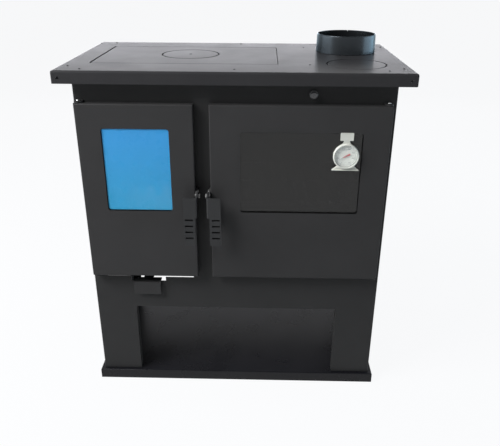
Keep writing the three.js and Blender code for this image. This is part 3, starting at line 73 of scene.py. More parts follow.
def settle(piece, name):
    """Names a new piece and puts its place into its mesh."""
    piece.name = name
    piece.data.name = name
    take(piece)
    bpy.ops.object.transform_apply(location=True, rotation=True, scale=True)
    return piece


def block(name, low, high):
    """A square-edged blank between two corners."""
    low, high = Vector(low), Vector(high)
    deselect()
    bpy.ops.mesh.primitive_cube_add(size=1, location=(low + high) / 2, scale=high - low)
    return settle(bpy.context.object, name)


def pick(piece, kind, test):
    """Selects, in edit mode, the faces or edges whose middle and direction pass the test."""
    take(piece)
    bpy.ops.object.mode_set(mode="EDIT")
    bpy.ops.mesh.select_mode(type=kind)
    bpy.ops.mesh.select_all(action="DESELECT")
    bpy.ops.object.mode_set(mode="OBJECT")
    mesh = piece.data
    if kind == "FACE":
        for face in mesh.polygons:
            face.select = bool(test(face.center, face.normal))
    else:
        for edge in mesh.edges:
            a, b = (mesh.vertices[i].co for i in edge.vertices)
            edge.select = bool(test((a + b) / 2, (b - a).normalized()))
    bpy.ops.object.mode_set(mode="EDIT")


def release():
    """Leaves edit mode."""
    bpy.ops.object.mode_set(mode="OBJECT")


def modify(piece, kind, **settings):
    """Adds a modifier and applies it."""
    take(piece)
    modifier = piece.modifiers.new(kind.title(), kind)
    for name, value in settings.items():
        setattr(modifier, name, value)
    bpy.ops.object.modifier_apply(modifier=modifier.name)
    return piece


def cut(piece, *tools):
    """Takes the tools' shapes out of a piece and deletes the tools."""
    for tool in tools:
        modify(piece, "BOOLEAN", operation="DIFFERENCE", solver="EXACT", object=tool)
        bpy.data.objects.remove(tool)
    return piece


def smooth(piece, degrees=32):
    """Smooth bends and rims, while the flat faces between them stay flat."""
    take(piece)
    bpy.ops.object.shade_smooth_by_angle(angle=math.radians(degrees))
    return modify(piece, "WEIGHTED_NORMAL", keep_sharp=True)


def soften(piece, width, segments=2, degrees=38):
    """Breaks the sharp edges, so that they catch the light."""
    modify(
        piece, "BEVEL", width=width, segments=segments, limit_method="ANGLE", angle_limit=math.radians(degrees),
        use_clamp_overlap=True, harden_normals=False)
    return smooth(piece)


def dressed(node, body, name, material, slot, edge=0.3, shape=None):
    """A copy of a CAD node with broken edges and smooth bends, in place of the node.

    shape is a function that works on the merged copy before its edges are broken.
    """
    take(frame["nodes"][node])
    bpy.ops.object.duplicate()
    piece = bpy.context.object
    piece.parent = None
    piece.name = name
    bpy.ops.object.mode_set(mode="EDIT")
    bpy.ops.mesh.select_all(action="SELECT")
    bpy.ops.mesh.remove_doubles(threshold=2e-5)
    bpy.ops.mesh.dissolve_limited(angle_limit=math.radians(1))
    release()
    for key in [key for key in piece.keys() if key.startswith("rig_")]:
        del piece[key]
    if shape:
        shape(piece)
    if edge:
        soften(piece, edge * MM)
    else:
        smooth(piece)
    return fit(piece, body, material, slot, node)


def fit(piece, body, material, slot, *nodes):
    """Gives a finished piece its material, its body and the CAD nodes that it stands for."""
    piece.data.materials.clear()
    piece.data.materials.append(material)
    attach(piece, body)
    if nodes:
        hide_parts(*nodes)
    return piece


def turned(name, foot, profile, steps=64, forwards=False):
    """A round piece drawn up ring by ring from [radius, height] points, along Z or forwards along -Y."""
    foot = Vector(foot)
    along = Vector((0, -1, 0)) if forwards else Vector((0, 0, 1))
    radius, height = profile[0]
    turn = (math.pi / 2, 0, 0) if forwards else (0, 0, 0)
    deselect()
    bpy.ops.mesh.primitive_circle_add(
        vertices=steps, radius=radius, fill_type="NOTHING", location=foot + along * height, rotation=turn)
    piece = settle(bpy.context.object, name)
    bpy.ops.object.mode_set(mode="EDIT")
    bpy.ops.mesh.select_mode(type="EDGE")
    bpy.ops.mesh.select_all(action="SELECT")
    for next_radius, next_height in profile[1:]:
        bpy.ops.mesh.extrude_region_move(TRANSFORM_OT_translate={"value": along * (next_height - height)})
        ratio = next_radius / radius
        scale = (ratio, 1, ratio) if forwards else (ratio, ratio, 1)
        bpy.ops.transform.resize(value=scale, center_override=foot + along * next_height)
        radius, height = next_radius, next_height
    bpy.ops.mesh.select_all(action="SELECT")
    bpy.ops.mesh.remove_doubles(threshold=1e-6)
    bpy.ops.mesh.fill_holes(sides=0)
    bpy.ops.mesh.normals_make_consistent(inside=False)
    release()
    return smooth(piece, 35)


def middle(node):
    """The middle of a CAD node's box."""
    low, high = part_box(node)
    return (low + high) / 2


def radius_of(node):
    """Half the width of a round CAD node."""
    low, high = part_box(node)
    return (high.x - low.x) / 2


# ---------------------------------------------------------------------------------------------------------------
# Finishes
# ---------------------------------------------------------------------------------------------------------------

def finish_of(name, colour, roughness, metallic=0.0, **sockets):
    """A plain material; sockets name further inputs of its shader, with _ for a space."""
    material = bpy.data.materials.new(name)
    material.use_nodes = True
    shader = material.node_tree.nodes["Principled BSDF"]
    shader.inputs["Base Color"].default_value = (*colour, 1)
    shader.inputs["Roughness"].default_value = roughness
    shader.inputs["Metallic"].default_value = metallic
    for socket, value in sockets.items():
        shader.inputs[socket.replace("_", " ")].default_value = value
    return material


def placed(material, scale=(1, 1, 1), rotation=(0, 0, 0)):
    """The piece's own coordinates, stretched and turned for a pattern."""
    nodes, links = material.node_tree.nodes, material.node_tree.links
    where = nodes.new("ShaderNodeTexCoord")
    mapping = nodes.new("ShaderNodeMapping")
    mapping.inputs["Scale"].default_value = scale
    mapping.inputs["Rotation"].default_value = rotation
    links.new(where.outputs["Object"], mapping.inputs["Vector"])
    return mapping.outputs["Vector"]


def noise(material, scale, detail=4.0, roughness=0.55, stretch=(1, 1, 1)):
    """A cloudy pattern; a larger scale is finer."""
    nodes, links = material.node_tree.nodes, material.node_tree.links
    texture = nodes.new("ShaderNodeTexNoise")
    texture.inputs["Scale"].default_value = scale
    texture.inputs["Detail"].default_value = detail
    texture.inputs["Roughness"].default_value = roughness
    links.new(placed(material, stretch), texture.inputs["Vector"])
    return texture.outputs["Fac"]


def spread(material, source, low, high, start=0.3, end=0.7):
    """Turns a pattern into values between low and high."""
    nodes, links = material.node_tree.nodes, material.node_tree.links
    rescale = nodes.new("ShaderNodeMapRange")
    rescale.inputs["From Min"].default_value = start
    rescale.inputs["From Max"].default_value = end
    rescale.inputs["To Min"].default_value = low
    rescale.inputs["To Max"].default_value = high
    links.new(source, rescale.inputs["Value"])
    return rescale.outputs["Result"]


def tint(material, source, first, second, start=0.3, end=0.7):
    """Turns a pattern into a colour between two colours."""
    nodes, links = material.node_tree.nodes, material.node_tree.links
    ramp = nodes.new("ShaderNodeValToRGB")
    ramp.color_ramp.elements[0].position = start
    ramp.color_ramp.elements[0].color = (*first, 1)
    ramp.color_ramp.elements[1].position = end
    ramp.color_ramp.elements[1].color = (*second, 1)
    links.new(source, ramp.inputs["Fac"])
    return ramp.outputs["Color"]


def connect(material, output, socket):
    """Feeds a pattern into an input of the material's shader."""
    shader = material.node_tree.nodes["Principled BSDF"]
    material.node_tree.links.new(output, shader.inputs[socket])


def bumped(material, source, distance, strength):
    """Turns a pattern into relief of that depth in metres."""
    nodes, links = material.node_tree.nodes, material.node_tree.links
    bump = nodes.new("ShaderNodeBump")
    bump.inputs["Strength"].default_value = strength
    bump.inputs["Distance"].default_value = distance
    links.new(source, bump.inputs["Height"])
    return bump.outputs["Normal"]


def powder_coat(name, colour, gloss, sheen, grain=1400, **sockets):
    """Satin powder coat: a fine orange peel, faint clouding and patches of slightly different gloss."""
    dark, light = [tuple(share * c for c in colour) for share in (0.93, 1.07)]
    material = finish_of(name, colour, gloss, Specular_IOR_Level=sheen, **sockets)
    connect(material, tint(material, noise(material, 9, 5), dark, light), "Base Color")
    connect(material, spread(material, noise(material, 14, 2), gloss - 0.02, gloss + 0.02), "Roughness")
    connect(material, bumped(material, noise(material, grain, 2), 0.00003, 0.5), "Normal")
    return material


black_coat = powder_coat("black_coat", (0.0272, 0.0272, 0.0276), 0.44, 0.11)
door_coat = powder_coat("door_coat", (0.0315, 0.0311, 0.0318), 0.42, 0.11)
# Painted light: the plinth's bluish tint stands in for the cool daylight that falls into the wood store through its
# open back.
plinth_coat = powder_coat("plinth_coat", (0.0068, 0.0068, 0.0086), 0.28, 0.22)
top_coat = powder_coat("top_coat", (0.031, 0.0307, 0.0325), 0.31, 0.05, 900)
plate_iron = powder_coat("plate_iron", (0.03, 0.0298, 0.0316), 0.31, 0.05, 700)
# Painted reflection: the collar's bluish colour and bluish specular tint stand in for the blue daylight mirrored in
# its gloss.
collar_coat = powder_coat(
    "collar_coat", (0.033, 0.037, 0.041), 0.27, 0.4, 1100, Metallic=0.82, Specular_Tint=(0.74, 0.9, 1.0, 1))
handle_coat = powder_coat("handle_coat", (0.0295, 0.03, 0.0312), 0.36, 0.14)
knob_coat = powder_coat("knob_coat", (0.06, 0.06, 0.062), 0.34, 0.5)
# Painted light in part: the guard is paler than its bare metal, so that its teeth show as lit through the blue film.
lightened_guard_coat = powder_coat("lightened_guard", (0.6, 0.57, 0.47), 0.5, 0.3, 1100)


def rough_iron():
    """Cast iron as it leaves the sand: cloudy and pitted."""
    material = finish_of("cast_iron", (0.05, 0.05, 0.052), 0.7, 0.35)
    connect(material, tint(material, noise(material, 30, 6), (0.05, 0.05, 0.052), (0.085, 0.085, 0.09)), "Base Color")
    connect(material, bumped(material, noise(material, 420, 6, 0.7), 0.0003, 0.7), "Normal")
    return material


cast_iron = rough_iron()


def mill_steel(name, dark, light, gloss):
    """Bare sheet with rolling streaks and cloudy scale."""
    material = finish_of(name, dark, gloss, 0.85)
    connect(material, tint(material, noise(material, 12, 7), dark, light), "Base Color")
    streaks = noise(material, 60, 3, stretch=(1, 1, 14))
    connect(material, spread(material, streaks, gloss - 0.1, gloss + 0.12), "Roughness")
    connect(material, bumped(material, streaks, 0.00006, 0.5), "Normal")
    return material


bare_steel = mill_steel("bare_steel", (0.16, 0.165, 0.175), (0.26, 0.265, 0.275), 0.42)
stainless = mill_steel("stainless", (0.62, 0.63, 0.64), (0.74, 0.75, 0.76), 0.24)
zinc = mill_steel("zinc_plate", (0.17, 0.17, 0.17), (0.24, 0.24, 0.24), 0.4)
bright_zinc = mill_steel("bright_zinc", (0.5, 0.5, 0.5), (0.62, 0.62, 0.62), 0.34)


def firebrick_clay():
    """Sandy, speckled fireclay."""
    material = finish_of("firebrick_clay", (0.4, 0.3, 0.19), 0.95)
    clay = tint(material, noise(material, 55, 8, 0.7), (0.33, 0.25, 0.16), (0.52, 0.41, 0.28))
    connect(material, clay, "Base Color")
    connect(material, bumped(material, noise(material, 380, 8, 0.75), 0.0006, 0.8), "Normal")
    return material


firebrick = firebrick_clay()


def braided_glass_rope():
    """Grey fibres of the door seals."""
    material = finish_of("braided_glass_rope", (0.3, 0.3, 0.29), 0.95)
    fibres = noise(material, 900, 4, 0.7)
    connect(material, tint(material, fibres, (0.2, 0.2, 0.19), (0.42, 0.42, 0.4)), "Base Color")
    connect(material, bumped(material, fibres, 0.0004, 0.8), "Normal")
    return material


rope = braided_glass_rope()


def pane(name, colour, share, gloss, grain=7, smoothest=0.02, roughest=0.06):
    """Glass as a thin share of its own colour over what lies behind it."""
    material = finish_of(name, colour, 0.04, Alpha=share, Specular_IOR_Level=gloss)
    connect(material, spread(material, noise(material, grain, 3), smoothest, roughest), "Roughness")
    return material


smoked_glass = pane("smoked_glass", (0.008, 0.008, 0.0074), 0.76, 0.5)
clear_pane = pane("clear_pane", (0.5, 0.52, 0.52), 0.08, 1.0)
clear_lens = pane("lens_glass", (0.9, 0.93, 0.95), 0.1, 0.6, 40, 0.03, 0.08)


def protective_film():
    """Blue film on the new glass, greener towards the bottom, and slightly see-through."""
    film_foot, film_head = 0.5, 0.66  # heights between which the colour changes
    foot_colour, head_colour = (0.048, 0.46, 0.81), (0.06, 0.44, 0.92)
    material = finish_of("protective_film", foot_colour, 0.3, Alpha=0.48, Specular_IOR_Level=0.3)
    nodes, links = material.node_tree.nodes, material.node_tree.links
    height = nodes.new("ShaderNodeSeparateXYZ")
    links.new(placed(material), height.inputs["Vector"])
    share = spread(material, height.outputs["Z"], 0, 1, film_foot, film_head)
    connect(material, tint(material, share, foot_colour, head_colour, 0, 1), "Base Color")
    connect(material, spread(material, noise(material, 60, 3), 0.24, 0.36), "Roughness")
    return material


blue_film = protective_film()


def dial_enamel():
    """Off-white enamel with a faint mottle."""
    material = finish_of("dial_enamel", (0.84, 0.87, 0.8), 0.35)
    connect(material, tint(material, noise(material, 60, 3), (0.84, 0.87, 0.8), (0.88, 0.91, 0.84)), "Base Color")
    return material


enamel = dial_enamel()


def painted(name, colour, gloss):
    """Printed or painted colour with a fine mottle."""
    material = finish_of(name, colour, gloss)
    dark = tuple(0.85 * c for c in colour)
    connect(material, tint(material, noise(material, 300, 3), dark, colour), "Base Color")
    return material


pointer_red = painted("pointer_red", (0.55, 0.03, 0.03), 0.35)
dark_print = painted("dark_print", (0.16, 0.17, 0.19), 0.5)


def satin_case():
    """Dull satin steel of the thermometer's case, nearly as pale as its dial."""
    material = finish_of("case_steel", (0.6, 0.61, 0.58), 0.5, 0.15)
    connect(material, tint(material, noise(material, 40, 4), (0.58, 0.59, 0.545), (0.64, 0.65, 0.6)), "Base Color")
    streaks = noise(material, 260, 2, stretch=(1, 1, 9))
    connect(material, spread(material, streaks, 0.44, 0.56), "Roughness")
    return material


case_steel = satin_case()


def make_black_liner_and_painted_shade():
    """Matt black that reflects next to nothing, for the grip liners and for the strips of painted shade at the
    windows.
    """
    colour, light = (0.003, 0.003, 0.003), (0.006, 0.006, 0.006)
    material = finish_of("gasket_rubber", colour, 0.85, Specular_IOR_Level=0.05)
    connect(material, tint(material, noise(material, 200, 3), colour, light), "Base Color")
    return material


gasket_rubber = make_black_liner_and_painted_shade()

finishes = {
    "black_paint": black_coat, "top_steel": top_coat, "cast_iron": cast_iron, "bare_steel": bare_steel,
    "zinc": zinc, "stainless": stainless, "firebrick": firebrick, "seal_rope": rope, "door_glass": smoked_glass,
    "clear_glass": clear_lens, "blue_film": blue_film, "dial_white": enamel, "pointer_red": pointer_red,
}
for node in frame["nodes"].values():
    node.data.materials[0] = finishes[node.data.materials[0].name]
frame["nodes"]["log_guard"].data.materials[0] = lightened_guard_coat
frame["nodes"]["fire_door_glass"].data.materials[0] = clear_pane


# ---------------------------------------------------------------------------------------------------------------
# Folded sheet: broken edges and smooth bends over the CAD shapes
# ---------------------------------------------------------------------------------------------------------------


dressed("base_plinth", "cabinet", "plinth", plinth_coat, "black_paint", 0.8)
dressed("front_frame", "cabinet", "cabinet_front", black_coat, "black_paint")
dressed("side_panel_left", "cabinet", "left_side", black_coat, "black_paint")
dressed("side_panel_right", "cabinet", "right_side", black_coat, "black_paint")
dressed("back_panel", "cabinet", "back", black_coat, "black_paint")
for door in ("fire_door", "oven_door"):
    dressed(door + "_panel", door, door + "_skin", door_coat, "black_paint")
    dressed(door + "_liner", door, door + "_back", black_coat, "black_paint")
for hinge in ("fire_hinge_top", "fire_hinge_bottom", "oven_hinge_top", "oven_hinge_bottom"):
    dressed(hinge, "cabinet", hinge + "_lug", black_coat, "black_paint")


GRIP_SLOTS = 4
SLOT_PITCH = 14.9 * MM
SLOT_LENGTH = 18.3 * MM
SLOT_HALF_HEIGHT = 2.1 * MM
TOP_SLOT = 0.484  # height of the uppermost slot
LINER_FOOT, LINER_HEAD = 0.434, 0.4882


def grip_span(latch):
    """Where the grip slots of a lever start and end, and its front."""
    low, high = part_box(latch + "_handle")
    left = low.x + 2.4 * MM if latch == "fire_latch" else high.x - 20.5 * MM
    return left, left + SLOT_LENGTH, low.y


def open_grip_slots(lever):
    """Gives the grip slots square ends and their full height."""
    left, right, front = grip_span(lever.name.removesuffix("_lever"))
    for row in range(GRIP_SLOTS):
        height = TOP_SLOT - row * SLOT_PITCH
        low = (left, front - MM, height - SLOT_HALF_HEIGHT)
        high = (right, front + 4 * MM, height + SLOT_HALF_HEIGHT)
        cut(lever, block("grip_slot", low, high))


def grip_liner(latch):
    """Black heat-resistant strip behind the slots of the grip."""
    left, right, front = grip_span(latch)
    strip = block(
        latch + "_grip_liner", (left - 1.2 * MM, front + 3.1 * MM, LINER_FOOT),
        (right + 1.2 * MM, front + 4.6 * MM, LINER_HEAD))
    soften(strip, 0.4 * MM)
    fit(strip, latch, gasket_rubber, "black_paint")


for latch in ("fire_latch", "oven_latch"):
    dressed(latch + "_handle", latch, latch + "_lever", handle_coat, "black_paint", 0.5, open_grip_slots)
    dressed(latch + "_hook", latch, latch + "_catch", zinc, "zinc", 0.4)
dressed("fire_latch_bolt", "fire_door", "fire_latch_pin", zinc, "zinc")
dressed("oven_latch_bolt", "oven_door", "oven_latch_pin", zinc, "zinc")
dressed("air_slide", "air_slide", "air_control", door_coat, "black_paint", 0.4)


def round_top_corners(top):
    """Folded corners of the skirt, and a wider gap round the cleaning cover."""
    low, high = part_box("top_plate")
    corner = 3.5 * MM
    cover_gap = 2.7 * MM
    pick(top, "EDGE", lambda centre, way: abs(way.z) > 0.9
         and min(abs(centre.x - low.x), abs(centre.x - high.x)) < MM
         and min(abs(centre.y - low.y), abs(centre.y - high.y)) < MM)
    bpy.ops.mesh.bevel(offset=corner, segments=5)
    release()
    deselect()
    bpy.ops.mesh.primitive_cylinder_add(
        vertices=96, radius=radius_of("round_cover") + cover_gap, depth=20 * MM, location=middle("round_cover"))
    cut(top, settle(bpy.context.object, "cover_hole"))


dressed("top_plate", "cabinet", "cooking_top", top_coat, "top_steel", 0.4, round_top_corners)


# ---------------------------------------------------------------------------------------------------------------
# Cooking top
# ---------------------------------------------------------------------------------------------------------------

COOK_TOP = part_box("top_plate")[1].z
PLATE_GAP = 2.9 * MM  # lid to the opening in the hotplate
LEDGE = 5.3 * MM  # cooking surface to the ledge under the lid
RIM_ON_LEDGE = 8.2 * MM


def hotplate():
    """A flat plate with rounded corners and a stepped opening for its lid."""
    low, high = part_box("cook_plate")
    plate = block("hotplate", low + Vector((0.9 * MM, 0, 0)), high)
    pick(plate, "EDGE", lambda centre, way: abs(way.z) > 0.9)
    bpy.ops.mesh.bevel(offset=6 * MM, segments=8)
    release()
    rim = radius_of("burner_lid") + PLATE_GAP
    seat = rim - RIM_ON_LEDGE
    thickness = high.z - low.z
    ledge = thickness - LEDGE
    foot = middle("burner_lid")
    foot.z = low.z
    opening = turned("lid_opening", foot, [
        [0.1 * MM, -MM], [seat, -MM], [seat, ledge], [rim, ledge], [rim, thickness + MM],
        [0.1 * MM, thickness + MM]], 96)
    cut(plate, opening)
    soften(plate, 0.6 * MM, 3)
    return fit(plate, "cook_plate", plate_iron, "cast_iron", "cook_plate")


def hotplate_lid():
    """The lid has a finger hole in the middle and a locating rib underneath."""
    rim = radius_of("burner_lid")
    hole = 3.2 * MM
    top = 5 * MM
    foot = middle("burner_lid")
    foot.z = COOK_TOP - top
    profile = [
        [hole, 0], [rim - 15 * MM, 0], [rim - 14.6 * MM, -4 * MM], [rim - 10.4 * MM, -4 * MM], [rim - 10 * MM, 0],
        [rim - 0.5 * MM, 0], [rim, 0.5 * MM], [rim, top - 0.9 * MM], [rim - 0.3 * MM, top - 0.3 * MM],
        [rim - 0.9 * MM, top], [hole + MM, top], [hole + 0.4 * MM, top - 0.2 * MM], [hole, top - 0.8 * MM], [hole, 0],
    ]
    return fit(turned("hotplate_lid", foot, profile, 96), "burner_lid", plate_iron, "cast_iron", "burner_lid")


def cleaning_cover():
    """A plain round plate with a broken edge."""
    low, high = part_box("round_cover")
    foot = middle("round_cover")
    foot.z = low.z
    rim = radius_of("round_cover")
    top = high.z - low.z
    profile = [
        [0.1 * MM, 0], [rim - 0.5 * MM, 0], [rim, 0.5 * MM], [rim, top - 0.9 * MM], [rim - 0.3 * MM, top - 0.3 * MM],
        [rim - 0.9 * MM, top], [0.1 * MM, top],
    ]
    return fit(turned("cleaning_cover", foot, profile, 96), "round_cover", top_coat, "top_steel", "round_cover")


def top_screws():
    """Low round heads round the edge of the top and beside the openings."""
    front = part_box("front_frame")[0].y
    spots = [  # millimetres from the middle of the stove and from the front of its cabinet
        (-361, 29), (-325, -8), (-375, 376), (-337, 390), (0, -2), (0, 390), (165, 329), (163, 64), (367, 345),
        (324, -5), (360, 24)]
    for number, (x, y) in enumerate(spots):
        foot = Vector((x * MM, front + y * MM, COOK_TOP))
        head = turned("top_screw_%d" % (number + 1), foot, [
            [1.2 * MM, 0.1 * MM], [2.4 * MM, 0.1 * MM], [2.3 * MM, 0.3 * MM], [1.9 * MM, 0.65 * MM],
            [1.4 * MM, 0.8 * MM], [1.1 * MM, 0.6 * MM], [1.0 * MM, 0.3 * MM], [0.1 * MM, 0.3 * MM]], 24)
        fit(head, "cabinet", black_coat, "black_paint")


hotplate()
hotplate_lid()
cleaning_cover()
top_screws()


def flue_collar():
    """A tapered collar with a rolled rim and a small nick in the rim at the rear."""
    low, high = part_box("flue_collar")
    foot = middle("flue_collar")
    foot.z = low.z
    base = radius_of("flue_collar")
    height = high.z - low.z
    rim = base - 1.5 * MM
    wall = 2.2 * MM
    bore = base - wall - 7 * MM
    profile = [
        [bore, wall], [bore, 0.3 * MM], [bore + 0.3 * MM, 0], [base - 0.6 * MM, 0], [base, 0.6 * MM],
        [base - 0.2 * MM, 6 * MM], [rim + 0.4 * MM, height - 5.2 * MM], [rim - 0.2 * MM, height - 3.4 * MM],
        [rim + 0.1 * MM, height - 2 * MM], [rim - 0.1 * MM, height - 0.8 * MM], [rim - 0.7 * MM, height - 0.15 * MM],
        [rim - 1.3 * MM, height], [rim - 1.9 * MM, height - 0.2 * MM], [rim - wall, height - 1 * MM],
        [base - wall, 6 * MM], [base - wall - 0.3 * MM, wall], [bore, wall],
    ]
    collar = turned("collar", foot, profile, 128)
    nick = foot + Vector((12 * MM, rim + 1.2 * MM, height))
    cut(collar, block(
        "nick", nick - Vector((0.6 * MM, 6 * MM, 2.5 * MM)), nick + Vector((0.6 * MM, 3 * MM, MM))))
    smooth(collar, 35)
    return fit(collar, "cabinet", collar_coat, "black_paint", "flue_collar")


flue_collar()


def damper_knob():
    """The knob's shank collar and its domed head with a shallow dimple."""
    low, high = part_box("damper_knob")
    radius = radius_of("damper_knob") + 1.4 * MM
    length = high.y - low.y
    foot = middle("damper_knob")
    foot.y = high.y
    profile = [
        [0.1 * MM, 0], [radius - 0.4 * MM, 0], [radius, 0.4 * MM], [radius, 2.6 * MM], [radius - 0.4 * MM, 3 * MM],
        [radius - 1.6 * MM, 3.2 * MM], [radius - 1.6 * MM, length - 2.6 * MM], [radius - 2 * MM, length - 1.2 * MM],
        [radius - 3 * MM, length - 0.3 * MM], [radius - 4 * MM, length], [radius - 5 * MM, length - 0.3 * MM],
        [radius - 6.4 * MM, length - 0.9 * MM], [0.1 * MM, length - MM],
    ]
    knob = turned("damper_pull", foot, profile, 48, forwards=True)
    return fit(knob, "damper", knob_coat, "black_paint", "damper_knob")


damper_knob()


# ---------------------------------------------------------------------------------------------------------------
# Doors: black strips of painted shade at the windows, the hinge pins' heads and the strips behind the grips
# ---------------------------------------------------------------------------------------------------------------

OVERLAP = 12 * MM  # glass behind the edge of its window


def window_shade_strip(door, glass_front, left, right):
    """A black strip of painted shade along the lower edge of a window and up one side, where the recess round the
    glass lies in shadow; left and right are its widths there.

    A side with a width below zero has no strip.
    """
    foot_width = 2.4 * MM
    low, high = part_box(door + "_glass")
    inset = Vector((OVERLAP + 0.05 * MM, 0, OVERLAP + 0.05 * MM))
    low, high = low + inset, high - inset
    low.y, high.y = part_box(door + "_panel")[0].y + 0.5 * MM, glass_front - 0.03 * MM
    strip = block(door + "_shade_strip", low, high)
    pick(strip, "EDGE", lambda centre, way: abs(way.y) > 0.9)
    bpy.ops.mesh.bevel(offset=6 * MM, segments=6)
    release()
    inside = block("inside", low + Vector((left, -MM, foot_width)), high + Vector((-right, MM, 10 * MM)))
    pick(inside, "EDGE", lambda centre, way: abs(way.y) > 0.9)
    bpy.ops.mesh.bevel(offset=5 * MM, segments=6)
    release()
    cut(strip, inside)
    soften(strip, 0.15 * MM)
    fit(strip, door, gasket_rubber, "seal_rope")


# Painted shade: these strips darken the bottom and one side of each window, where the recess round the glass lies in
# shadow.
window_shade_strip("fire_door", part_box("fire_door_film")[0].y, 1.3 * MM, -20 * MM)
window_shade_strip("oven_door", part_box("oven_door_glass")[0].y, -20 * MM, 1.5 * MM)


def hinge_pin_heads():
    """Domed heads on the pins, above the upper lugs and below the lower ones."""
    axes = {joint["name"]: joint["pos_m"] for joint in frame["record"]["behaviour"]["joints"] if "pos_m" in joint}
    for door in ("fire", "oven"):
        axis = Vector(axes[door + "_door_swing"])
        for place, way in (("top", 1), ("bottom", -1)):
            low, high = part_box(door + "_hinge_" + place)
            foot = Vector((axis.x, axis.y, high.z if way > 0 else low.z))
            head = turned(door + "_pin_" + place, foot, [
                [0.2 * MM, way * 0.05 * MM], [3.1 * MM, way * 0.05 * MM], [3.3 * MM, way * 0.4 * MM],
                [3 * MM, way * 1.1 * MM], [2.3 * MM, way * 1.7 * MM], [1.3 * MM, way * 2 * MM],
                [0.2 * MM, way * 2.05 * MM]], 28)
            fit(head, "cabinet", bright_zinc, "zinc")


hinge_pin_heads()
grip_liner("fire_latch")
grip_liner("oven_latch")


# ---------------------------------------------------------------------------------------------------------------
# Thermometer on the oven door
# ---------------------------------------------------------------------------------------------------------------

DIAL = middle("thermometer_lens")
LENS = radius_of("thermometer_lens")
CASE_FRONT, CASE_BACK = (corner.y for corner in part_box("thermometer_case"))
SWEEP = 300  # degrees of the scale, which is open at the bottom
TICKS = 36
NUMBERS = 8
POINTER_ANGLE = -118


def on_dial(radius, degrees, forward):
    """A place on the dial, turned from the right-hand side upwards, so far ahead of the back of the case."""
    turn = math.radians(degrees)
    return Vector((DIAL.x + radius * math.cos(turn), CASE_BACK - forward, DIAL.z + radius * math.sin(turn)))


def banded_plate(name, bands, back, front):
    """A flat plate on the dial's middle line, drawn upwards through bands of [height, half width]."""
    height, half = bands[0]
    depth = (back + front) / 2
    deselect()
    bpy.ops.mesh.primitive_plane_add(size=1, location=(DIAL.x, depth, DIAL.z + height * MM))
    bpy.context.object.scale = (2 * half * MM, back - front, 1)
    plate = settle(bpy.context.object, name)
    bpy.ops.object.mode_set(mode="EDIT")
    bpy.ops.mesh.select_all(action="SELECT")
    for next_height, next_half in bands[1:]:
        bpy.ops.mesh.extrude_region_move(TRANSFORM_OT_translate={"value": (0, 0, (next_height - height) * MM)})
        bpy.ops.transform.resize(
            value=(next_half / half, 1, 1), center_override=(DIAL.x, depth, DIAL.z + next_height * MM))
        height, half = next_height, next_half
    bpy.ops.mesh.select_all(action="SELECT")
    bpy.ops.mesh.normals_make_consistent(inside=False)
    release()
    return plate


def swung(piece, degrees):
    """Turns a piece about the dial's middle, clockwise from upright."""
    piece.matrix_world = (
        Matrix.Translation(DIAL) @ Matrix.Rotation(math.radians(degrees), 4, "Y") @ Matrix.Translation(-DIAL))
    return settle(piece, piece.name)


def thermometer_case():
    """A thin bezel with a rolled front, a hanging tab with a pressed border and a flared foot."""
    radius = LENS + 0.7 * MM
    foot = (DIAL.x, CASE_BACK, DIAL.z)
    depth = CASE_BACK - CASE_FRONT
    bezel = turned("thermometer_bezel", foot, [
        [radius - 1.2 * MM, 0.3 * MM], [radius - 0.6 * MM, 0.1 * MM], [radius, 0.6 * MM], [radius, depth - 2 * MM],
        [radius - 0.4 * MM, depth - 1 * MM], [radius - 1.3 * MM, depth - 0.2 * MM], [radius - 2.3 * MM, depth],
        [radius - 3 * MM, depth - 0.4 * MM], [radius - 3.2 * MM, depth - 1 * MM],
        [radius - 3 * MM, depth - 1.3 * MM], [radius - 1.2 * MM, depth - 1.5 * MM], [radius - 1.2 * MM, 0.3 * MM]],
        72, forwards=True)
    fit(bezel, "oven_door", case_steel, "stainless", "thermometer_case")
    back = turned("thermometer_back", foot, [
        [0.1 * MM, 0.2 * MM], [radius - 1.4 * MM, 0.2 * MM], [radius - 1.4 * MM, 1.2 * MM], [0.1 * MM, 1.2 * MM]],
        48, forwards=True)
    fit(back, "oven_door", case_steel, "stainless")

    low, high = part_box("thermometer_case")
    top = (high.z - DIAL.z) / MM
    bottom = (DIAL.z - low.z) / MM
    half = 14.3
    tab_low = top - 17.5
    tab = banded_plate("thermometer_tab", [
        [tab_low, half - 1], [tab_low + 1, half], [top - 1, half], [top, half - 1]],
        CASE_BACK - 0.4 * MM, CASE_BACK - 2 * MM)
    pick(tab, "FACE", lambda centre, way: way.y < -0.9)
    bpy.ops.mesh.inset(thickness=1.8 * MM)
    bpy.ops.mesh.inset(thickness=0.5 * MM, depth=-0.6 * MM)
    release()
    soften(tab, 0.25 * MM)
    fit(tab, "oven_door", case_steel, "stainless")
    neck = banded_plate("thermometer_neck", [
        [25.5, 12], [28.4, 8.5], [tab_low - 1.6, 6.6], [tab_low + 0.6, 7]], CASE_BACK - 0.4 * MM, CASE_BACK - 1.9 * MM)
    soften(neck, 0.3 * MM)
    fit(neck, "oven_door", case_steel, "stainless")
    wide = (high.x - low.x) / 2 / MM
    stand = banded_plate("thermometer_foot", [
        [-bottom, wide], [-bottom + 2.2, wide - 1.6], [-bottom + 6, wide - 7], [-bottom + 9.6, wide - 10.5]],
        CASE_BACK - 0.4 * MM, CASE_BACK - 2 * MM)
    pick(stand, "FACE", lambda centre, way: way.y < -0.9)
    bpy.ops.mesh.inset(thickness=1 * MM, depth=0.7 * MM)
    release()
    soften(stand, 0.25 * MM)
    fit(stand, "oven_door", case_steel, "stainless")
    ledge = banded_plate(
        "thermometer_foot_lip", [[-bottom, wide], [-bottom + 1.2, wide]], CASE_BACK - 0.4 * MM, CASE_FRONT + 2.5 * MM)
    soften(ledge, 0.3 * MM)
    fit(ledge, "oven_door", case_steel, "stainless")


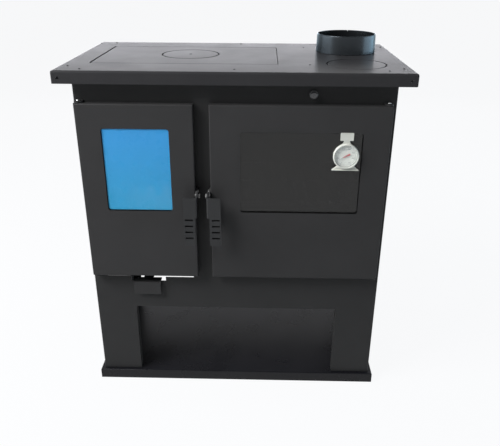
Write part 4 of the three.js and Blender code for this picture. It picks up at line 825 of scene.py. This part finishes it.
def thermometer_dial():
    """White enamel with ticks, plain numbers, a printed ring and a dark ring of painted shade where the bezel shades
    the dial.
    """
    foot = (DIAL.x, CASE_BACK, DIAL.z)
    dial_front = 2.3 * MM
    dial = turned("thermometer_face", foot, [
        [0.1 * MM, 1.5 * MM], [LENS - 1.2 * MM, 1.5 * MM], [LENS - 1 * MM, 1.8 * MM], [LENS - 1.2 * MM, dial_front],
        [0.1 * MM, dial_front]], 64, forwards=True)
    fit(dial, "oven_door", enamel, "dial_white", "thermometer_dial")
    spindle = turned("thermometer_spindle", foot, [
        [0.1 * MM, 2.2 * MM], [1.2 * MM, 2.2 * MM], [1.2 * MM, 4.7 * MM], [0.9 * MM, 5 * MM], [0.1 * MM, 5.05 * MM]],
        20, forwards=True)
    fit(spindle, "oven_door", dark_print, "dial_white")
    # The second ring is painted shade: a dark line round the edge of the dial, where the bezel's shadow falls.
    for name, inner, outer in (("dial_ring", 20.6 * MM, 20.9 * MM), ("bezel_shade_ring", 24.5 * MM, 25.7 * MM)):
        print_front = dial_front + 0.05 * MM
        ring = turned(name, foot, [
            [inner, dial_front], [outer, dial_front], [outer, print_front], [inner, print_front],
            [inner, dial_front]], 96, forwards=True)
        fit(ring, "oven_door", dark_print, "dial_white")
    scale_start = 90 + SWEEP / 2
    marks = []
    for step in range(TICKS):
        degrees = scale_start - step * SWEEP / (TICKS - 1)
        half_width, half_length = (0.5 * MM, 1.1 * MM) if step % 5 == 0 else (0.25 * MM, 0.6 * MM)
        tick = block("tick", (-half_width, -0.05 * MM, -half_length), (half_width, 0, half_length))
        tick.matrix_world = (
            Matrix.Translation(on_dial(22.6 * MM, degrees, dial_front))
            @ Matrix.Rotation(math.radians(90 - degrees), 4, "Y"))
        marks.append(settle(tick, "tick"))
    for number in range(NUMBERS):
        degrees = scale_start - number * SWEEP / (NUMBERS - 1)
        deselect()
        bpy.ops.object.text_add(rotation=(math.pi / 2, 0, 0))
        text = bpy.context.object
        text.data.body = str(number * 50)
        text.data.size = 4.6 * MM
        text.data.extrude = 0.025 * MM
        text.data.align_x = "CENTER"
        text.data.align_y = "CENTER"
        text.location = on_dial(17.2 * MM, degrees, dial_front)
        bpy.ops.object.convert(target="MESH")
        marks.append(settle(bpy.context.object, "number"))
    take(marks[0])
    for mark in marks:
        mark.select_set(True)
    bpy.ops.object.join()
    printed = bpy.context.object
    printed.name = "dial_marks"
    fit(printed, "oven_door", dark_print, "dial_white")


def thermometer_pointer():
    """The pointer's broad red end points up to the right and its thin grey end down to the left."""
    low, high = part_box("thermometer_pointer")
    red = banded_plate("pointer_red_end", [
        [-10.2, 0.9], [-9.2, 1.8], [-1.4, 1.7], [2.2, 1.4], [7, 0.5]], high.y, low.y)
    soften(red, 0.1 * MM)
    fit(swung(red, POINTER_ANGLE), "dial_pointer", pointer_red, "pointer_red", "thermometer_pointer")
    grey = banded_plate("pointer_grey_end", [[6.9, 0.5], [17, 0.2]], high.y, low.y)
    soften(grey, 0.1 * MM)
    fit(swung(grey, POINTER_ANGLE), "dial_pointer", dark_print, "pointer_red")


thermometer_case()
thermometer_dial()
thermometer_pointer()


# ---------------------------------------------------------------------------------------------------------------
# Stage, light and camera
# ---------------------------------------------------------------------------------------------------------------

def pale_floor():
    """Pale floor that keeps the stove's shadow; the camera and mirrors see it nearly white."""
    deselect()
    bpy.ops.mesh.primitive_plane_add(size=60, location=(0, 0, -0.0005))
    floor = settle(bpy.context.object, "floor")
    material = bpy.data.materials.new("pale_floor")
    material.use_nodes = True
    nodes, links = material.node_tree.nodes, material.node_tree.links
    nodes.clear()
    plain = nodes.new("ShaderNodeBsdfDiffuse")
    plain.inputs["Color"].default_value = (0.6, 0.603, 0.606, 1)
    white = nodes.new("ShaderNodeEmission")
    white.inputs["Color"].default_value = (0.985, 0.99, 1.0, 1)
    share = nodes.new("ShaderNodeMath")
    share.operation = "MULTIPLY"
    share.inputs[1].default_value = 0.94
    mix = nodes.new("ShaderNodeMixShader")
    output = nodes.new("ShaderNodeOutputMaterial")
    links.new(seen_directly(nodes, links), share.inputs[0])
    links.new(share.outputs["Value"], mix.inputs["Fac"])
    links.new(plain.outputs["BSDF"], mix.inputs[1])
    links.new(white.outputs["Emission"], mix.inputs[2])
    links.new(mix.outputs["Shader"], output.inputs["Surface"])
    floor.data.materials.append(material)


def seen_directly(nodes, links):
    """1 for rays from the camera, from mirrors and through glass, and 0 for the light that falls on things."""
    path = nodes.new("ShaderNodeLightPath")
    first = nodes.new("ShaderNodeMath")
    first.operation = "MAXIMUM"
    second = nodes.new("ShaderNodeMath")
    second.operation = "MAXIMUM"
    links.new(path.outputs["Is Camera Ray"], first.inputs[0])
    links.new(path.outputs["Is Glossy Ray"], first.inputs[1])
    links.new(first.outputs["Value"], second.inputs[0])
    links.new(path.outputs["Is Transmission Ray"], second.inputs[1])
    return second.outputs["Value"]


def white_room():
    """A white backdrop all round; in reflections and through glass it fades towards the dim ceiling."""
    world = bpy.data.worlds.new("white_room")
    scene.world = world
    world.use_nodes = True
    nodes, links = world.node_tree.nodes, world.node_tree.links
    nodes.clear()
    ambient = nodes.new("ShaderNodeBackground")
    ambient.inputs["Color"].default_value = (0.93, 0.96, 1.0, 1)
    ambient.inputs["Strength"].default_value = 0.12
    direction = nodes.new("ShaderNodeTexCoord")
    parts = nodes.new("ShaderNodeSeparateXYZ")
    links.new(direction.outputs["Generated"], parts.inputs["Vector"])
    fade = nodes.new("ShaderNodeMapRange")
    fade.inputs["From Min"].default_value = 0.2
    fade.inputs["From Max"].default_value = 0.9
    fade.inputs["To Min"].default_value = 0.97
    fade.inputs["To Max"].default_value = 0.25
    links.new(parts.outputs["Z"], fade.inputs["Value"])
    path = nodes.new("ShaderNodeLightPath")
    level = nodes.new("ShaderNodeMath")
    level.operation = "MAXIMUM"
    links.new(path.outputs["Is Camera Ray"], level.inputs[0])
    links.new(fade.outputs["Result"], level.inputs[1])
    white = nodes.new("ShaderNodeBackground")
    white.inputs["Color"].default_value = (0.958, 0.966, 0.982, 1)
    links.new(level.outputs["Value"], white.inputs["Strength"])
    mix = nodes.new("ShaderNodeMixShader")
    output = nodes.new("ShaderNodeOutputWorld")
    links.new(seen_directly(nodes, links), mix.inputs["Fac"])
    links.new(ambient.outputs["Background"], mix.inputs[1])
    links.new(white.outputs["Background"], mix.inputs[2])
    links.new(mix.outputs["Shader"], output.inputs["Surface"])


def softbox(name, place, aim, width, height, power, colour=(1, 1, 1)):
    """A soft rectangular lamp that the camera doesn't see."""
    lamp = bpy.data.lights.new(name, "AREA")
    lamp.shape = "RECTANGLE"
    lamp.size, lamp.size_y = width, height
    lamp.energy = power
    lamp.color = colour
    holder = bpy.data.objects.new(name, lamp)
    holder.location = place
    holder.rotation_euler = (Vector(aim) - Vector(place)).to_track_quat("-Z", "Y").to_euler()
    holder.visible_camera = False
    scene.collection.objects.link(holder)


pale_floor()
white_room()
softbox("overhead_light", (-1.85, -1.15, 2.35), (0, 0, 0.45), 1.6, 1.2, 124)
softbox("rear_light", (-0.05, 3.3, 0.98), (0, 0, 0.8), 3.6, 0.45, 22, (0.92, 0.92, 1.0))
softbox("left_window", (-2.6, -0.1, 1.0), (0, 0, 0.8), 2.6, 1.0, 38, (0.84, 0.93, 1.0))
softbox("right_window", (2.6, 0.3, 1.0), (0, 0, 0.8), 2.6, 1.0, 38, (0.66, 0.86, 1.0))

camera_data = bpy.data.cameras.new("camera")
camera_data.lens = 42.136
camera_data.sensor_width = 36
camera = bpy.data.objects.new("camera", camera_data)
camera.matrix_world = (
    Matrix.Translation((0.0594, -1.4242, 1.0266)) @ Matrix.Rotation(0.019774, 4, "Z")
    @ Matrix.Rotation(math.pi / 2 - 0.429711, 4, "X") @ Matrix.Rotation(0.005757, 4, "Z"))
scene.collection.objects.link(camera)
scene.camera = camera

scene.view_settings.view_transform = "Standard"
